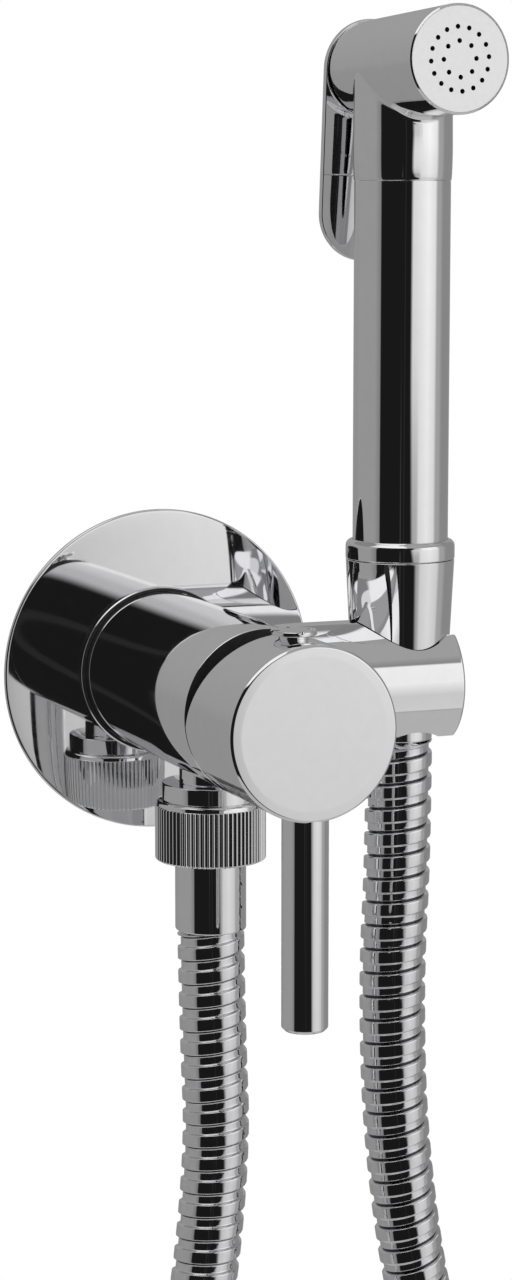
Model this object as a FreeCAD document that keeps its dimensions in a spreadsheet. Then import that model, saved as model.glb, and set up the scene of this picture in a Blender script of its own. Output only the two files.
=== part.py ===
import FreeCAD, Part

import math
import os

import Sketcher
from FreeCAD import Placement, Rotation, Vector

# Bidet shower mixer, in millimetres.
# The origin is the centre of the rosette's wall face. +Z is up, -Y is towards the user,
# +X is the side of the arm. "Station" means the distance from the wall, which is -Y.

DRIVING_SIZES = (
    # Fits
    ("running_gap", 0.05, "radial gap of a shaft in its bore"),
    ("seat_gap", 0.1, "gap of a piece dropped into its seat"),
    ("moving_gap", 0.3, "gap between faces that pass each other"),
    # Wall plate and body
    ("rosette_radius", 37.0, "outer radius of the wall plate"),
    ("rosette_depth", 2.9, "how far the plate stands off the wall"),
    ("rosette_wall", 1.0, "sheet of the plate and its rim"),
    ("rosette_bevel", 0.7, "bevel of the plate's front edge"),
    ("body_radius", 18.25, "outer radius of the round body"),
    ("body_length", 69.5, "body from the wall to its front"),
    ("body_bevel", 0.25, "bevel of the body's front edge"),
    ("step_width", 1.05, "how far the ring stands off the body"),
    ("step_length", 1.3, "length of the ring"),
    # Supply ports in the back of the body
    ("port_spread", 7.6, "port centre from the middle"),
    ("port_height", 3.0, "port centre above the middle"),
    ("port_radius", 4.95, "bore of a supply port"),
    ("port_depth", 12.0, "depth of a supply port"),
    ("check_radius", 4.0, "bore for an inlet valve"),
    ("check_length", 11.0, "length of an inlet valve"),
    ("check_bore", 2.0, "waterway of an inlet valve"),
    ("feed_radius", 2.4, "drilling from port to cartridge"),
    # Cartridge
    ("cartridge_radius", 12.6, "outer radius of the cartridge"),
    ("cartridge_depth", 27.5, "cartridge seat behind the body's front"),
    ("gasket_thickness", 1.0, "seal under the cartridge"),
    ("housing_floor", 3.7, "floor of the cartridge housing"),
    ("housing_bore", 10.8, "inner radius of the housing"),
    ("disc_thickness", 2.5, "thickness of a ceramic disc"),
    ("moving_disc_radius", 8.3, "radius of the sliding disc"),
    ("disc_travel", 2.0, "travel of the sliding disc"),
    ("housing_inset", 7.7, "housing's front behind the body's front"),
    ("neck_radius", 8.6, "front opening of the housing"),
    ("turret_inset", 5.9, "turret's front behind the body's front"),
    ("turret_flange", 5.4, "length of the turret's flange"),
    ("pivot_inset", 12.0, "lever's pivot behind the body's front"),
    ("turret_shoulder", 2.25, "turret's shoulder in front of the pivot"),
    ("stem_pin_radius", 1.5, "pivot pin of the lever"),
    ("stem_width", 5.0, "width of the lever"),
    ("stem_height", 6.0, "height of the lever"),
    ("stem_swing", 6.3, "half height of the turret's slot"),
    ("ball_radius", 2.5, "ball at the lever's inner end"),
    ("ball_reach", 4.6, "ball centre behind the pivot"),
    ("ring_nut_radius", 14.0, "thread radius of the ring nut"),
    ("ring_nut_inset", 2.0, "ring nut's front behind the body's front"),
    ("ring_nut_bore", 9.2, "bore of the ring nut"),
    ("spanner_slot", 3.0, "width of the ring nut's slots"),
    # Handle
    ("handle_gap", 0.5, "gap between body and handle"),
    ("handle_length", 26.3, "length of the handle"),
    ("handle_bevel", 1.4, "bevel of the handle's front edge"),
    ("handle_cavity", 14.5, "radius of the hollow in the handle"),
    ("handle_cavity_depth", 11.0, "depth of the hollow"),
    ("handle_boss", 7.5, "radius of the boss round the stem"),
    ("handle_boss_length", 2.0, "length of the boss"),
    ("slant_start", 2.0, "where the slanted back starts, below the middle"),
    ("slant_slope", 0.45, "slope of the handle's slanted back"),
    ("stem_socket", 11.0, "how far the stem goes into the handle"),
    ("pin_inset", 5.1, "pin's axis behind the handle's front"),
    ("pin_radius", 4.85, "radius of the handle's pin"),
    ("pin_end", 62.4, "lowest point of the pin, below the middle"),
    ("pin_bevel", 0.7, "bevel of the pin's end"),
    ("pin_seat_depth", 0.75, "depth of the flat for the pin"),
    ("stud_radius", 2.45, "threaded end of the pin"),
    ("stud_length", 7.0, "length of the threaded end"),
    ("screw_inset", 11.3, "set screw and its cap behind the handle's front"),
    ("screw_radius", 2.45, "radius of the set screw"),
    ("screw_length", 8.0, "length of the set screw"),
    ("screw_point", 1.2, "bevel of the set screw's point"),
    ("screw_socket", 1.25, "radius of the set screw's socket"),
    ("screw_socket_depth", 2.5, "depth of the set screw's socket"),
    ("cap_seat_depth", 0.65, "depth of the flat for the cap"),
    ("cap_neck_radius", 3.1, "neck of the cap"),
    ("cap_neck", 1.3, "height of the cap's neck"),
    ("cap_radius", 4.8, "radius of the cap's head"),
    ("cap_head", 1.0, "thickness of the cap's head"),
    ("cap_bevel", 0.25, "bevel of the cap's head"),
    ("cap_plug", 3.5, "length of the cap's plug"),
    ("notch_width", 0.8, "width of a notch in the cap"),
    ("notch_depth", 0.45, "depth of a notch in the cap"),
    # Outlet and hose nut
    ("outlet_station", 36.2, "station of the outlet"),
    ("outlet_neck", 6.9, "radius of the outlet's neck"),
    ("collar_gap", 1.95, "gap between the body and the outlet's collar"),
    ("collar_radius", 10.8, "radius of the outlet's collar"),
    ("collar_height", 3.8, "height of the outlet's collar"),
    ("thread_radius", 10.35, "half inch pipe thread, outside"),
    ("thread_length", 9.0, "length of the outlet's thread"),
    ("water_bore", 4.0, "bore through the outlet"),
    ("valve_bore", 5.6, "bore for the outlet valve"),
    ("valve_length", 9.4, "length of the outlet valve"),
    ("washer_thickness", 2.0, "thickness of a hose washer"),
    ("hose_nut_radius", 12.3, "outer radius of the knurled nut"),
    ("hose_nut_length", 13.4, "length of the knurled nut"),
    ("hose_nut_lip", 0.9, "thickness of the nut's two lips"),
    ("hose_nut_chamfer", 0.6, "chamfer of the nut's upper lip"),
    ("flute_count", 72, "flutes of the knurled nut"),
    ("flute_depth", 0.4, "depth of a flute"),
    ("flute_half_width", 0.36, "half width of a flute at the rim"),
    ("sleeve_radius", 7.9, "radius of the lower sleeve"),
    ("sleeve_end", 53.5, "lower end of the sleeve, below the middle"),
    ("sleeve_flange", 1.6, "thickness of a sleeve's flange"),
    ("hose_bore", 4.5, "bore of hose and sleeves"),
    # Hose
    ("hose_radius", 7.5, "outer radius of the hose"),
    ("groove_depth", 0.85, "depth of the hose's grooves"),
    ("rib_count", 76, "ribs of the hose"),
    ("rib_ramp", 0.08, "share of a rib that climbs or falls"),
    ("rib_groove", 0.2, "share of a rib that is groove"),
    # Arm
    ("arm_station", 39.8, "station of the arm"),
    ("arm_radius", 14.4, "radius of the arm"),
    ("arm_end", 53.8, "end of the arm from the middle"),
    ("arm_bevel", 1.0, "bevel of the arm's end"),
    ("arm_spigot", 7.0, "radius of the arm's spigot"),
    ("arm_spigot_length", 4.2, "length of the spigot in the body"),
    ("holder_offset", 43.9, "centre of the holder's hole"),
    ("holder_radius", 12.15, "radius of the holder's hole, down to its seat"),
    ("slot_half_width", 8.8, "half width of the holder's open slot"),
    ("liner_bottom", 7.3, "bottom of the plastic seat, below the middle"),
    ("liner_top", 2.7, "top of the plastic seat, above the middle"),
    # Conical nut and upper hose end
    ("cone_top", 27.9, "top of the conical nut"),
    ("cone_bottom", 10.0, "bottom of the conical nut, below the middle"),
    ("cone_radius", 12.1, "radius of the conical nut at its top"),
    ("cone_taper", 0.05, "loss of radius per length"),
    ("upper_sleeve_radius", 7.4, "radius of the upper sleeve"),
    ("upper_sleeve_end", 14.6, "lower end of the upper sleeve, below the middle"),
    ("flange_seat", 11.8, "seat of the sleeve's flange in the nut"),
    ("flange_radius", 9.1, "radius of the sleeves' flanges"),
    # Hand shower
    ("tube_radius", 10.6, "outer radius of the tube"),
    ("tube_bore", 8.6, "bore of the tube"),
    ("tube_top", 111.0, "seam between tube and head"),
    ("ring_top", 32.3, "top of the end ring"),
    ("ring_shoulder", 29.4, "where the end ring starts to round"),
    ("ring_crown", 31.2, "height of the middle of the end ring's rounding"),
    ("ring_crown_radius", 11.8, "radius there"),
    ("ring_radius", 12.15, "radius of the end ring"),
    ("ring_small_radius", 11.0, "radius of the end ring at its top"),
    ("head_height", 135.8, "height of the head's axis"),
    ("head_back", 23.7, "station of the head's back"),
    ("head_front", 68.7, "station of the head's front"),
    ("head_back_radius", 10.66, "radius of the head at the back"),
    ("head_front_radius", 11.5, "radius of the head at the front"),
    ("head_bevel", 0.3, "bevel of the head's rims"),
    ("head_neck_radius", 10.8, "radius of the head's neck"),
    ("neck_flare", 5.3, "height over which the neck widens"),
    ("spigot_length", 9.0, "how far the head goes into the tube"),
    ("spigot_radius", 9.35, "radius of the head's spigot"),
    ("neck_bore", 7.4, "waterway up the neck"),
    ("face_radius", 11.1, "radius of the spray face"),
    ("face_thickness", 1.3, "thickness of the spray face"),
    ("face_inset", 0.1, "how far the face lies behind the rim"),
    ("face_gasket", 0.8, "thickness of the spray face's seal"),
    ("face_chamber", 9.6, "radius of the front chamber"),
    ("spray_hole", 0.52, "radius of a spray hole"),
    ("outer_holes", 16, "holes on the outer ring"),
    ("outer_ring", 6.68, "radius of the outer ring"),
    ("inner_holes", 8, "holes on the inner ring"),
    ("inner_ring", 3.76, "radius of the inner ring"),
    ("outer_phase", 5.0, "turn of the outer ring of holes, degrees"),
    ("inner_phase", 2.5, "turn of the inner ring of holes, degrees"),
    # Trigger valve in the head
    ("valve_drop", 1.5, "valve axis below the head's axis"),
    ("gland_radius", 5.0, "bore for the gland"),
    ("gland_end", 33.0, "station of the gland's inner end"),
    ("gland_inset", 0.8, "how far the gland lies behind the head's back"),
    ("gland_wall", 2.0, "guide length of the gland"),
    ("spring_pocket", 3.3, "radius of the spring's pocket"),
    ("rear_chamber", 7.2, "radius of the rear chamber"),
    ("seat_station", 47.5, "station of the valve seat"),
    ("seat_thickness", 2.5, "thickness of the valve seat"),
    ("seat_radius", 3.2, "bore of the valve seat"),
    ("plunger_radius", 1.5, "radius of the plunger"),
    ("button_radius", 2.7, "radius of the plunger's button"),
    ("button_length", 1.2, "length of the plunger's button"),
    ("valve_disc_radius", 4.6, "radius of the valve disc"),
    ("valve_disc_length", 1.4, "thickness of the valve disc"),
    ("valve_washer_length", 1.0, "thickness of the valve washer"),
    ("spring_mean", 2.4, "mean radius of the spring"),
    ("spring_wire", 0.35, "radius of the spring's wire"),
    ("spring_turns", 5, "turns of the spring"),
    # Paddle
    ("paddle_half_width", 11.0, "half width of the paddle"),
    ("paddle_drop", 43.0, "lowest point of the paddle, below the head's axis"),
    ("paddle_rise", 10.7, "highest point of the paddle, above the head's axis"),
    ("paddle_thickness", 1.9, "thickness of the paddle"),
    ("paddle_tilt", 4.8, "tilt of the paddle, degrees"),
    ("paddle_gap", 0.3, "gap between the paddle and the head at the hinge"),
    ("hinge_height", 6.6, "hinge above the head's axis"),
    ("hinge_inset", 2.7, "hinge in front of the head's back"),
    ("lug_radius", 2.1, "radius of the paddle's lug"),
    ("lug_half_width", 2.8, "half width of the paddle's lug"),
    ("lug_half_height", 1.9, "half height of the lug's web"),
    ("hinge_pin_radius", 1.0, "radius of the hinge pin"),
    ("hinge_pin_near", 6.5, "end of the hinge pin on the closed side"),
    ("hinge_pin_far", 8.0, "end of the hinge pin on the open side"),
)

# How far a cutting tool runs past the face that it cuts through.
OVERRUN = 1.0

# The hose hangs from the lower sleeve to the upper one; the points are corners of its route.
HOSE_ROUTE = (
    (0.0, -36.2, -53.5),
    (0.0, -36.2, -78.0),
    (3.0, -36.5, -105.0),
    (-3.5, -37.5, -150.0),
    (-21.0, -39.0, -205.0),
    (-45.0, -41.0, -262.0),
    (-66.0, -43.0, -321.0),
    (-70.0, -44.0, -383.0),
    (-45.0, -45.0, -437.0),
    (4.0, -45.5, -464.0),
    (60.0, -45.5, -458.0),
    (103.0, -45.0, -420.0),
    (118.0, -44.5, -364.0),
    (107.0, -44.0, -304.0),
    (84.0, -43.0, -251.0),
    (66.0, -42.0, -199.0),
    (50.0, -41.0, -150.0),
    (43.2, -40.0, -107.0),
    (42.0, -39.8, -68.0),
    (43.9, -39.8, -39.5),
    (43.9, -39.8, -14.6),
)


class Size:
    """A number together with the sheet expression that gives it."""

    def __init__(self, number, text):
        self.number = number
        self.text = text

    def _with(self, other, sign, number):
        return Size(number, "(%s %s %s)" % (self.text, sign, as_size(other).text))

    def __add__(self, other):
        return self._with(other, "+", self.number + as_size(other).number)

    def __sub__(self, other):
        return self._with(other, "-", self.number - as_size(other).number)

    def __mul__(self, other):
        return self._with(other, "*", self.number * as_size(other).number)

    def __truediv__(self, other):
        return self._with(other, "/", self.number / as_size(other).number)

    def __neg__(self):
        return Size(-self.number, "(0 - %s)" % self.text)


def as_size(value):
    return value if isinstance(value, Size) else Size(float(value), "%r" % float(value))


def sine(degrees):
    return Size(math.sin(math.radians(degrees.number)), "sin(%s * 1deg)" % degrees.text)


def cosine(degrees):
    return Size(math.cos(math.radians(degrees.number)), "cos(%s * 1deg)" % degrees.text)


def tangent(degrees):
    return Size(math.tan(math.radians(degrees.number)), "tan(%s * 1deg)" % degrees.text)


doc = FreeCAD.newDocument("bidet_mixer")
sheet = doc.addObject("Spreadsheet::Sheet", "dims")


class Dimensions:
    """The driving sizes, each read by its name."""

    def __init__(self, rows):
        for row, (alias, number, meaning) in enumerate(rows, start=1):
            sheet.set("A%d" % row, alias)
            sheet.set("B%d" % row, repr(number))
            sheet.set("C%d" % row, meaning)
            sheet.setAlias("B%d" % row, alias)
            setattr(self, alias, Size(float(number), "dims.%s" % alias))


d = Dimensions(DRIVING_SIZES)
doc.recompute()

# Stations that follow the body's front or the handle's front.
cartridge_floor = d.body_length - d.cartridge_depth
housing_front = d.body_length - d.housing_inset
turret_front = d.body_length - d.turret_inset
pivot_station = d.body_length - d.pivot_inset
ring_nut_front = d.body_length - d.ring_nut_inset
handle_front = d.body_length + d.handle_gap + d.handle_length
pin_station = handle_front - d.pin_inset
screw_station = handle_front - d.screw_inset

# Distances from the body's axis that follow its radius.
pin_seat = d.body_radius - d.pin_seat_depth
cap_seat = d.body_radius - d.cap_seat_depth
collar_top = d.body_radius + d.collar_gap

# The outlet's neck goes up to the level of the cartridge's side.
outlet_socket = d.cartridge_radius

# Each piece is drawn along its own Z axis and then turned to one of three directions.
TURNS = {
    "up": Rotation(),
    "front": Rotation(Vector(1, 0, 0), 90),
    "side": Rotation(Vector(0, 1, 0), 90),
}

nodes = {}


def node(name, obj):
    """Name a finished piece."""
    obj.Label = name
    nodes[name] = obj
    return obj


def put(obj, direction, start, at):
    """Turn a piece to its direction, and bind its place to the sheet."""
    first, second = as_size(at[0]), as_size(at[1])
    start = as_size(start)
    places = {
        "up": (first, second, start),
        "front": (first, -start, second),
        "side": (start, first, second),
    }
    place = places[direction]
    obj.Placement = Placement(Vector(*[size.number for size in place]), TURNS[direction])
    for letter, size in zip("xyz", place):
        obj.setExpression("Placement.Base.%s" % letter, size.text)


def plane_of(body, role):
    return [part for part in body.Origin.OriginFeatures if part.Role == role][0]


def outline(body, name, role, points):
    """A closed outline of straight lines, each corner bound to the sheet."""
    sketch = body.newObject("Sketcher::SketchObject", name)
    sketch.AttachmentSupport = (plane_of(body, role), [""])
    sketch.MapMode = "FlatFace"
    corners = [(as_size(first), as_size(second)) for first, second in points]
    count = len(corners)
    for index in range(count):
        here, there = corners[index], corners[(index + 1) % count]
        start = Vector(here[0].number, here[1].number, 0)
        end = Vector(there[0].number, there[1].number, 0)
        sketch.addGeometry(Part.LineSegment(start, end), False)
    for index in range(count):
        sketch.addConstraint(Sketcher.Constraint("Coincident", index, 2, (index + 1) % count, 1))
    for index, corner in enumerate(corners):
        for kind, size in zip(("DistanceX", "DistanceY"), corner):
            constraint = Sketcher.Constraint(kind, -1, 1, index, 1, size.number)
            place = sketch.addConstraint(constraint)
            sketch.setExpression("Constraints[%d]" % place, size.text)
    return sketch


def turned(name, profile, direction, at=(0, 0)):
    """A turned piece: a profile of (radius, station) corners, revolved about its axis."""
    body = doc.addObject("PartDesign::Body", name)
    sketch = outline(body, name + "_profile", "XZ_Plane", profile)
    revolution = body.newObject("PartDesign::Revolution", name + "_revolution")
    revolution.Profile = sketch
    revolution.ReferenceAxis = (sketch, ["V_Axis"])
    put(body, direction, 0, at)
    return body


def prism(name, points, direction, start, length, at=(0, 0)):
    """A straight prism on an outline, from start along its direction."""
    body = doc.addObject("PartDesign::Body", name)
    sketch = outline(body, name + "_outline", "XY_Plane", points)
    pad = body.newObject("PartDesign::Pad", name + "_pad")
    pad.Profile = sketch
    length = as_size(length)
    pad.Length = length.number
    pad.setExpression("Length", length.text)
    put(body, direction, start, at)
    return body


def cylinder(name, radius, direction, start, length, at=(0, 0)):
    rod = doc.addObject("Part::Cylinder", name)
    rod.setExpression("Radius", as_size(radius).text)
    rod.setExpression("Height", as_size(length).text)
    put(rod, direction, start, at)
    return rod


def box(name, low, high):
    """A box between two corners in the object's own frame."""
    block = doc.addObject("Part::Box", name)
    low = [as_size(size) for size in low]
    high = [as_size(size) for size in high]
    for name_of_size, near, far in zip(("Length", "Width", "Height"), low, high):
        block.setExpression(name_of_size, (far - near).text)
    block.Placement = Placement(Vector(*[size.number for size in low]), Rotation())
    for letter, size in zip("xyz", low):
        block.setExpression("Placement.Base.%s" % letter, size.text)
    return block


def fuse(name, *pieces):
    joined = doc.addObject("Part::MultiFuse", name)
    joined.Shapes = list(pieces)
    return joined


def cut(name, base, *tools):
    """Take tools out of a base, one after the other."""
    for index, tool in enumerate(tools, start=1):
        result = doc.addObject("Part::Cut", "%s_%d" % (name, index))
        result.Base = base
        result.Tool = tool
        base = result
    return base


def ring(name, inner, outer, low, high, direction, at=(0, 0)):
    """A plain ring between two radii and two stations."""
    profile = ((inner, low), (outer, low), (outer, high), (inner, high))
    return turned(name, profile, direction, at)


def wall_plate():
    """Pressed plate, its foam ring, and the thin ring that hides its hole."""
    hole = d.body_radius + d.seat_gap
    back = d.rosette_depth - d.rosette_wall
    bevel_radius = d.rosette_radius - d.rosette_bevel
    profile = (
        (hole, back),
        (d.rosette_radius - d.rosette_wall, back),
        (d.rosette_radius - d.rosette_wall, 0),
        (d.rosette_radius, 0),
        (d.rosette_radius, d.rosette_depth - d.rosette_bevel),
        (bevel_radius, d.rosette_depth),
        (hole, d.rosette_depth),
    )
    node("wall_rosette", turned("plate", profile, "front"))
    seal_outer = d.rosette_radius - d.rosette_wall - d.seat_gap
    node("rosette_seal", ring("foam", hole, seal_outer, 0, back, "front"))
    ring_outer = d.body_radius + d.step_width
    front = d.rosette_depth + d.step_length
    step_profile = (
        (d.body_radius + d.running_gap, d.rosette_depth),
        (ring_outer, d.rosette_depth),
        (ring_outer, front - d.body_bevel),
        (ring_outer - d.body_bevel, front),
        (d.body_radius + d.running_gap, front),
    )
    node("rosette_ring", turned("step", step_profile, "front"))


def ports(name, radius, start, length):
    """The same drilling in both supply ports."""
    hot = cylinder(name + "_hot", radius, "front", start, length, (-d.port_spread, d.port_height))
    cold = cylinder(name + "_cold", radius, "front", start, length, (d.port_spread, d.port_height))
    return hot, cold


def mixer_body():
    """Brass casting: cartridge cavity in front, supply ports behind, outlet below, arm seat aside."""
    cavity = d.cartridge_radius + d.seat_gap
    thread = d.ring_nut_radius + d.running_gap
    bevel_station = d.body_length - d.body_bevel
    profile = (
        (0, 0),
        (d.body_radius, 0),
        (d.body_radius, bevel_station),
        (d.body_radius - d.body_bevel, d.body_length),
        (thread, d.body_length),
        (thread, housing_front),
        (cavity, housing_front),
        (cavity, cartridge_floor),
        (0, cartridge_floor),
    )
    casting = turned("casting", profile, "front")
    valve_end = d.port_depth + d.check_length
    tools = list(ports("port", d.port_radius, -OVERRUN, d.port_depth + OVERRUN))
    tools += ports("valve_seat", d.check_radius, 0, valve_end)
    tools += ports("feed", d.feed_radius, 0, cartridge_floor + OVERRUN)
    outlet_at = (0, -d.outlet_station)
    socket_length = d.body_radius - outlet_socket
    socket_radius = d.outlet_neck + d.running_gap
    tools.append(cylinder("outlet_hole", socket_radius, "up", -d.body_radius, socket_length, outlet_at))
    rise = outlet_socket - d.water_bore
    tools.append(cylinder("outlet_rise", d.water_bore, "up", -outlet_socket, rise, outlet_at))
    back_station = d.outlet_station - d.feed_radius
    back_length = cartridge_floor - back_station + OVERRUN
    return_at = (0, -(d.water_bore + d.feed_radius))
    tools.append(cylinder("outlet_feed", d.feed_radius, "front", back_station, back_length, return_at))
    spigot_start = d.body_radius - d.arm_spigot_length
    seat_length = d.arm_spigot_length + OVERRUN
    arm_at = (-d.arm_station, 0)
    spigot_radius = d.arm_spigot + d.running_gap
    tools.append(cylinder("arm_seat", spigot_radius, "side", spigot_start, seat_length, arm_at))
    node("mixer_body", cut("drilled_casting", casting, *tools))
    valves = []
    for side, offset in (("hot", -d.port_spread), ("cold", d.port_spread)):
        outer = d.check_radius - d.running_gap
        shoulder = d.port_depth + d.check_bore
        valve_profile = (
            (d.check_bore, d.port_depth),
            (outer, d.port_depth),
            (outer, valve_end),
            (d.feed_radius + d.running_gap, valve_end),
            (d.feed_radius + d.running_gap, shoulder),
            (d.check_bore, shoulder),
        )
        valves.append(turned("inlet_valve_" + side, valve_profile, "front", (offset, d.port_height)))
    pair = doc.addObject("Part::Compound", "inlet_valves")
    pair.Links = valves
    node("inlet_check_valves", pair)


def cartridge():
    """Mixing cartridge: seal, housing, two ceramic discs, turret with lever, and ring nut."""
    housing_back = cartridge_floor + d.gasket_thickness
    disc_back = housing_back + d.housing_floor
    seat_front = disc_back + d.disc_thickness
    disc_rest = d.disc_travel / 2

    gasket = cylinder("gasket_blank", d.cartridge_radius, "front", cartridge_floor, d.gasket_thickness)
    return_at = (0, -(d.water_bore + d.feed_radius))

    def waterways(name, start, length):
        hot, cold = ports(name, d.feed_radius, start, length)
        mixed = cylinder(name + "_mixed", d.feed_radius, "front", start, length, return_at)
        return hot, cold, mixed

    node("cartridge_gasket", cut("gasket", gasket, *waterways("gasket", 0, housing_front)))

    shoulder = pivot_station + d.turret_shoulder
    profile = (
        (0, housing_back),
        (d.cartridge_radius, housing_back),
        (d.cartridge_radius, housing_front),
        (d.neck_radius, housing_front),
        (d.neck_radius, shoulder),
        (d.housing_bore, shoulder),
        (d.housing_bore, disc_back),
        (0, disc_back),
    )
    shell = turned("housing_shell", profile, "front")
    node("cartridge_housing", cut("housing", shell, *waterways("housing", 0, disc_back + OVERRUN)))

    seat_radius = d.housing_bore - d.seat_gap
    seat = cylinder("seat_blank", seat_radius, "front", disc_back, d.disc_thickness)
    node("ceramic_seat_disc", cut("seat_disc", seat, *waterways("seat", 0, housing_front)))

    slider_at = (0, disc_rest)
    sliding = cylinder("slider_blank", d.moving_disc_radius, "front", seat_front, d.disc_thickness, slider_at)
    ball_station = pivot_station - d.ball_reach
    pocket_back = ball_station - d.ball_radius - d.moving_gap
    pocket = cylinder("ball_pocket", d.ball_radius + d.seat_gap, "front", pocket_back, d.disc_thickness)
    node("ceramic_moving_disc", cut("sliding_disc", sliding, pocket))

    turret_back = shoulder - d.running_gap - d.turret_flange
    flange_radius = d.housing_bore - d.seat_gap
    turret_radius = d.neck_radius - d.running_gap
    turret_profile = (
        (0, turret_back),
        (flange_radius, turret_back),
        (flange_radius, shoulder - d.running_gap),
        (turret_radius, shoulder - d.running_gap),
        (turret_radius, turret_front),
        (0, turret_front),
    )
    turret = turned("turret_blank", turret_profile, "front")
    slot_half = d.stem_width / 2 + d.seat_gap
    slot = box("turret_slot",
               (-slot_half, -turret_front - OVERRUN, -d.stem_swing),
               (slot_half, -turret_back + OVERRUN, d.stem_swing))
    pivot_at = (-pivot_station, 0)
    pin_start = d.moving_gap - d.neck_radius
    pin_length = -pin_start * 2
    pin_hole = cylinder("pivot_hole", d.stem_pin_radius, "side", pin_start, pin_length, pivot_at)
    node("cartridge_turret", cut("turret", turret, slot, pin_hole))
    node("stem_pin", cylinder("pivot", d.stem_pin_radius, "side", pin_start, pin_length, pivot_at))

    stem_front = d.body_length + d.handle_cavity_depth + d.stem_socket
    shank = box("shank",
                (-d.stem_width / 2, -stem_front, -d.stem_height / 2),
                (d.stem_width / 2, -ball_station, d.stem_height / 2))
    ball = doc.addObject("Part::Sphere", "ball")
    ball.setExpression("Radius", d.ball_radius.text)
    put(ball, "front", ball_station, (0, 0))
    lever = fuse("lever", shank, ball)
    eye_radius = d.stem_pin_radius + d.running_gap
    eye = cylinder("lever_eye", eye_radius, "side", -d.stem_width, d.stem_width * 2, pivot_at)
    node("cartridge_stem", cut("stem", lever, eye))

    nut = ring("nut_blank", d.ring_nut_bore, d.ring_nut_radius, housing_front, ring_nut_front, "front")
    half = d.spanner_slot / 2
    depth = ring_nut_front - d.spanner_slot / 2
    spanner = box("spanner_slots",
                  (-d.ring_nut_radius, -ring_nut_front, -half),
                  (d.ring_nut_radius, -depth, half))
    node("cartridge_ring_nut", cut("ring_nut", nut, spanner))


def handle():
    """Round handle with a slanted back, its set screw, notched cap and downward pin."""
    back = d.body_length + d.handle_gap
    cavity_front = d.body_length + d.handle_cavity_depth
    boss_back = cavity_front - d.handle_boss_length
    bevel_station = handle_front - d.handle_bevel
    profile = (
        (0, boss_back),
        (d.handle_boss, boss_back),
        (d.handle_boss, cavity_front),
        (d.handle_cavity, cavity_front),
        (d.handle_cavity, back),
        (d.body_radius, back),
        (d.body_radius, bevel_station),
        (d.body_radius - d.handle_bevel, handle_front),
        (0, handle_front),
    )
    blank = turned("handle_blank", profile, "front")
    reach = d.body_radius + d.slant_start + OVERRUN
    slant_width = d.body_radius + OVERRUN
    slant = prism("slant",
                  ((d.slant_start, -back + OVERRUN),
                   (d.slant_start, -back),
                   (d.slant_start - reach, -back - reach * d.slant_slope),
                   (d.slant_start - reach, -back + OVERRUN)),
                  "side", -slant_width, slant_width * 2)
    stem_front = cavity_front + d.stem_socket
    socket_side = d.stem_width / 2 + d.running_gap
    socket_top = d.stem_height / 2 + d.running_gap
    socket = box("stem_socket",
                 (-socket_side, -stem_front - d.seat_gap, -socket_top),
                 (socket_side, -back, socket_top))
    screw_at = (0, -screw_station)
    screw_hole = cylinder("screw_hole", d.screw_radius + d.running_gap, "up", 0, d.body_radius, screw_at)
    flat_radius = d.cap_neck_radius + d.seat_gap
    cap_flat = cylinder("cap_flat", flat_radius, "up", cap_seat, d.cap_neck_radius, screw_at)
    pin_at = (0, -pin_station)
    pin_flat = cylinder("pin_flat", d.pin_radius + d.running_gap, "up", -d.body_radius - OVERRUN,
                        d.body_radius + OVERRUN - pin_seat, pin_at)
    stud_hole = cylinder("stud_hole", d.stud_radius + d.running_gap, "up", -d.body_radius,
                         d.body_radius - pin_seat + d.stud_length + d.seat_gap, pin_at)
    node("handle_knob", cut("handle_cut", blank, slant, socket, screw_hole, cap_flat, pin_flat, stud_hole))

    pin_profile = (
        (0, -d.pin_end),
        (d.pin_radius - d.pin_bevel, -d.pin_end),
        (d.pin_radius, -d.pin_end + d.pin_bevel),
        (d.pin_radius, -pin_seat),
        (d.stud_radius, -pin_seat),
        (d.stud_radius, -pin_seat + d.stud_length),
        (0, -pin_seat + d.stud_length),
    )
    node("handle_pin", turned("pin", pin_profile, "up", pin_at))

    screw_low = d.stem_height / 2
    screw_high = screw_low + d.screw_length
    screw_profile = (
        (0, screw_low),
        (d.screw_radius - d.screw_point, screw_low),
        (d.screw_radius, screw_low + d.screw_point),
        (d.screw_radius, screw_high),
        (d.screw_socket, screw_high),
        (d.screw_socket, screw_high - d.screw_socket_depth),
        (0, screw_high - d.screw_socket_depth),
    )
    node("handle_set_screw", turned("set_screw", screw_profile, "up", screw_at))

    head_low = cap_seat + d.cap_neck
    head_high = head_low + d.cap_head
    cap_profile = (
        (0, cap_seat - d.cap_plug),
        (d.screw_radius, cap_seat - d.cap_plug),
        (d.screw_radius, cap_seat),
        (d.cap_neck_radius, cap_seat),
        (d.cap_neck_radius, head_low),
        (d.cap_radius, head_low),
        (d.cap_radius, head_high - d.cap_bevel),
        (d.cap_radius - d.cap_bevel, head_high),
        (0, head_high),
    )
    cap = turned("cap_blank", cap_profile, "up", screw_at)
    half = d.notch_width / 2
    low = head_high - d.notch_depth
    high = head_high + OVERRUN
    inner = d.cap_neck_radius
    outer = d.cap_radius + OVERRUN
    notches = (
        box("notch_right", (inner, -screw_station - half, low), (outer, -screw_station + half, high)),
        box("notch_left", (-outer, -screw_station - half, low), (-inner, -screw_station + half, high)),
        box("notch_front", (-half, -screw_station - outer, low), (half, -screw_station - inner, high)),
        box("notch_back", (-half, -screw_station + inner, low), (half, -screw_station + outer, high)),
    )
    node("screw_cap", cut("notched_cap", cap, *notches))


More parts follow.
